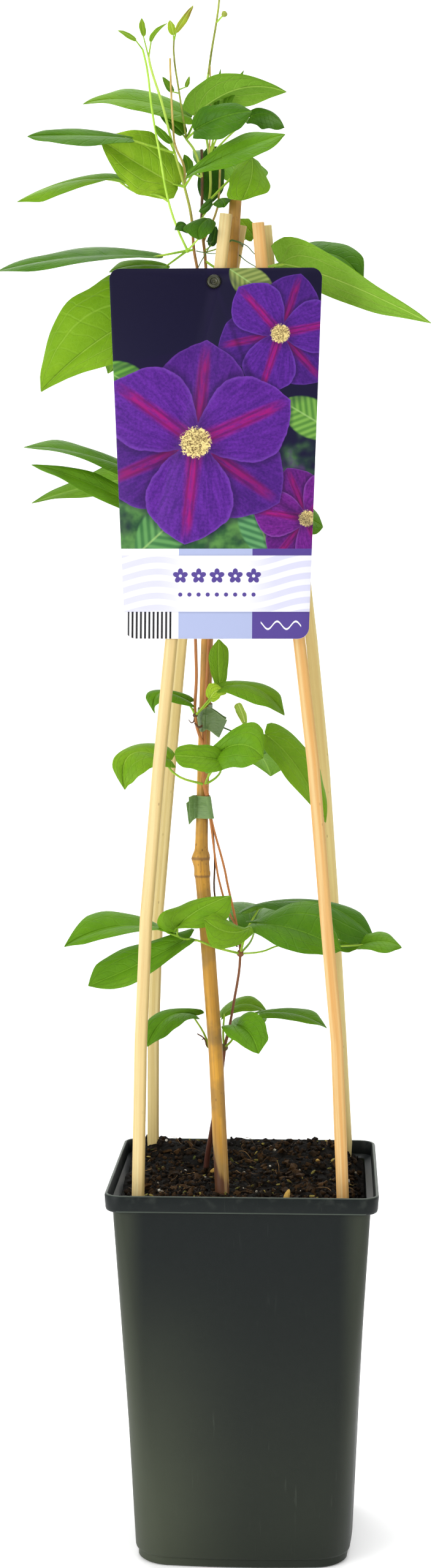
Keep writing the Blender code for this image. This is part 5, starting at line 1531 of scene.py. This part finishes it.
PURPLES = (rgb(62, 24, 108), rgb(98, 40, 150), rgb(120, 70, 172))
picture = blossom(picture, (34, 168), 35, 0.2, (rgb(60, 24, 108), rgb(92, 38, 146), rgb(112, 70, 172)))
picture = blossom(picture, (49, 66), 30, 0.9, (rgb(78, 20, 100), rgb(118, 36, 138), rgb(140, 80, 170)))
picture = blossom(picture, (-12, 108), 57, 0.42, PURPLES)

# under the picture: a strip and a foot of three plain colours, and between them a band with waves,
# a row of rosettes and a row of dots
white, sky, violet = rgb(226, 226, 229), rgb(160, 169, 202), rgb(80, 64, 134)
blocks = ink.mix(across > -20.9, white, sky)
blocks = ink.mix(across > 19.3, blocks, violet)
bars = abs(across / 2.3 - ink.maths("ROUND", across / 2.3))
bars = (bars < 0.24) * (across < -24.0) * (across > -48.6)
flourish = up - 7.4 - 2.1 * ink.maths("SINE", across * 0.62)
flourish = abs(flourish).smooth(0.62, 0.38) * (across > 24.0) * (across < 46.0)
foot = ink.mix(bars, blocks, rgb(34, 32, 34))
foot = ink.mix(flourish, foot, white)
foot = ink.mix(up.smooth(13.2, 15.0) * 0.25, foot, rgb(60, 56, 80))
swell = ink.maths("SINE", across * 0.075 + 0.6) * 5.5
waves = ink.maths("SINE", (up + swell) * 0.95 + across * 0.10)
band = ink.mix(waves.smooth(-0.15, 0.05) * abs(across).smooth(12, 34), rgb(218, 218, 226), rgb(198, 198, 218))
step_x = ink.maths("ROUND", across / 10)
x, z = across - step_x * 10, up - 34.4
turned = ink.maths("ARCTAN2", z, x)
lobes = abs(ink.maths("COSINE", (turned - 1.57) * 2.5))
rosette = (2.3 + lobes * 1.9 - (x * x + z * z) ** 0.5).smooth(-0.12, 0.12) * (abs(across) < 25)
rosette = rosette * ((x * x + z * z) ** 0.5).smooth(0.75, 1.0)
step_x = ink.maths("ROUND", across / 5)
x, z = across - step_x * 5, up - 24.2
dot = (1.15 - (x * x + z * z) ** 0.5).smooth(-0.1, 0.1) * (abs(across) < 22)
band = ink.mix(rosette.most(dot), band, violet)
face = ink.mix(up > 14.8, foot, band)
face = ink.mix(up > 45.6, face, ink.mix(up.smooth(46.6, 45.6) * 0.2, blocks, rgb(70, 66, 90)))
face = ink.mix(up > 49.4, face, picture)
label_face = ink.mix(deep < -0.8, rgb(226, 226, 229), face)
peel = ink.noise(flat, 3.0, 2)
label.data.materials.append(ink.finish(
    base_color=label_face,
    roughness=0.36 + peel * 0.08,
    normal=ink.bump(peel, 0.00002),
    specular_ior_level=0.15,
))
fit(label, "label_plastic", "label")


# Stud
# A dark olive button of nylon. Its flange sits behind the label, and its hollow head is pushed
# through the hole and holds by its rim.
STUD_TURNING = [  # radius and depth
    (4.6, 0.9), (4.95, 0.8), (5.0, 0.6), (4.9, 0.35), (4.6, 0.3), (3.62, 0.3), (3.58, -1.5), (3.6, -1.75),
    (3.5, -2.1), (3.2, -2.33), (2.8, -2.4), (2.4, -2.3), (2.05, -1.9), (1.8, -1.3), (1.4, -1.0), (0.8, -0.95),
    (0.7, -1.2), (0.4, -1.3),
]
turns = [2 * math.pi * k / 40 for k in range(40)]
stud = draw_up("label_button", [
    [LABEL_PLACE @ Vector((LABEL_HOLE[0] + r / 1000 * math.cos(a), y / 1000,
                           LABEL_HOLE[1] + r / 1000 * math.sin(a)))
     for a in turns] for r, y in STUD_TURNING
])
shade(stud, 50)
nylon = Paint("olive_nylon")
spot = nylon.place()
speckle = nylon.noise(spot, 900, 3)
stain = nylon.noise(spot, 260, 2)
colour = nylon.mix(stain.smooth(0.3, 0.7), rgb(27, 31, 19), rgb(62, 62, 38))
stud.data.materials.clear()
stud.data.materials.append(nylon.finish(base_color=colour, roughness=0.30 + speckle * 0.15,
                                        normal=nylon.bump(speckle, 0.00006)))
fit(stud, "stud_olive", "label_stud")
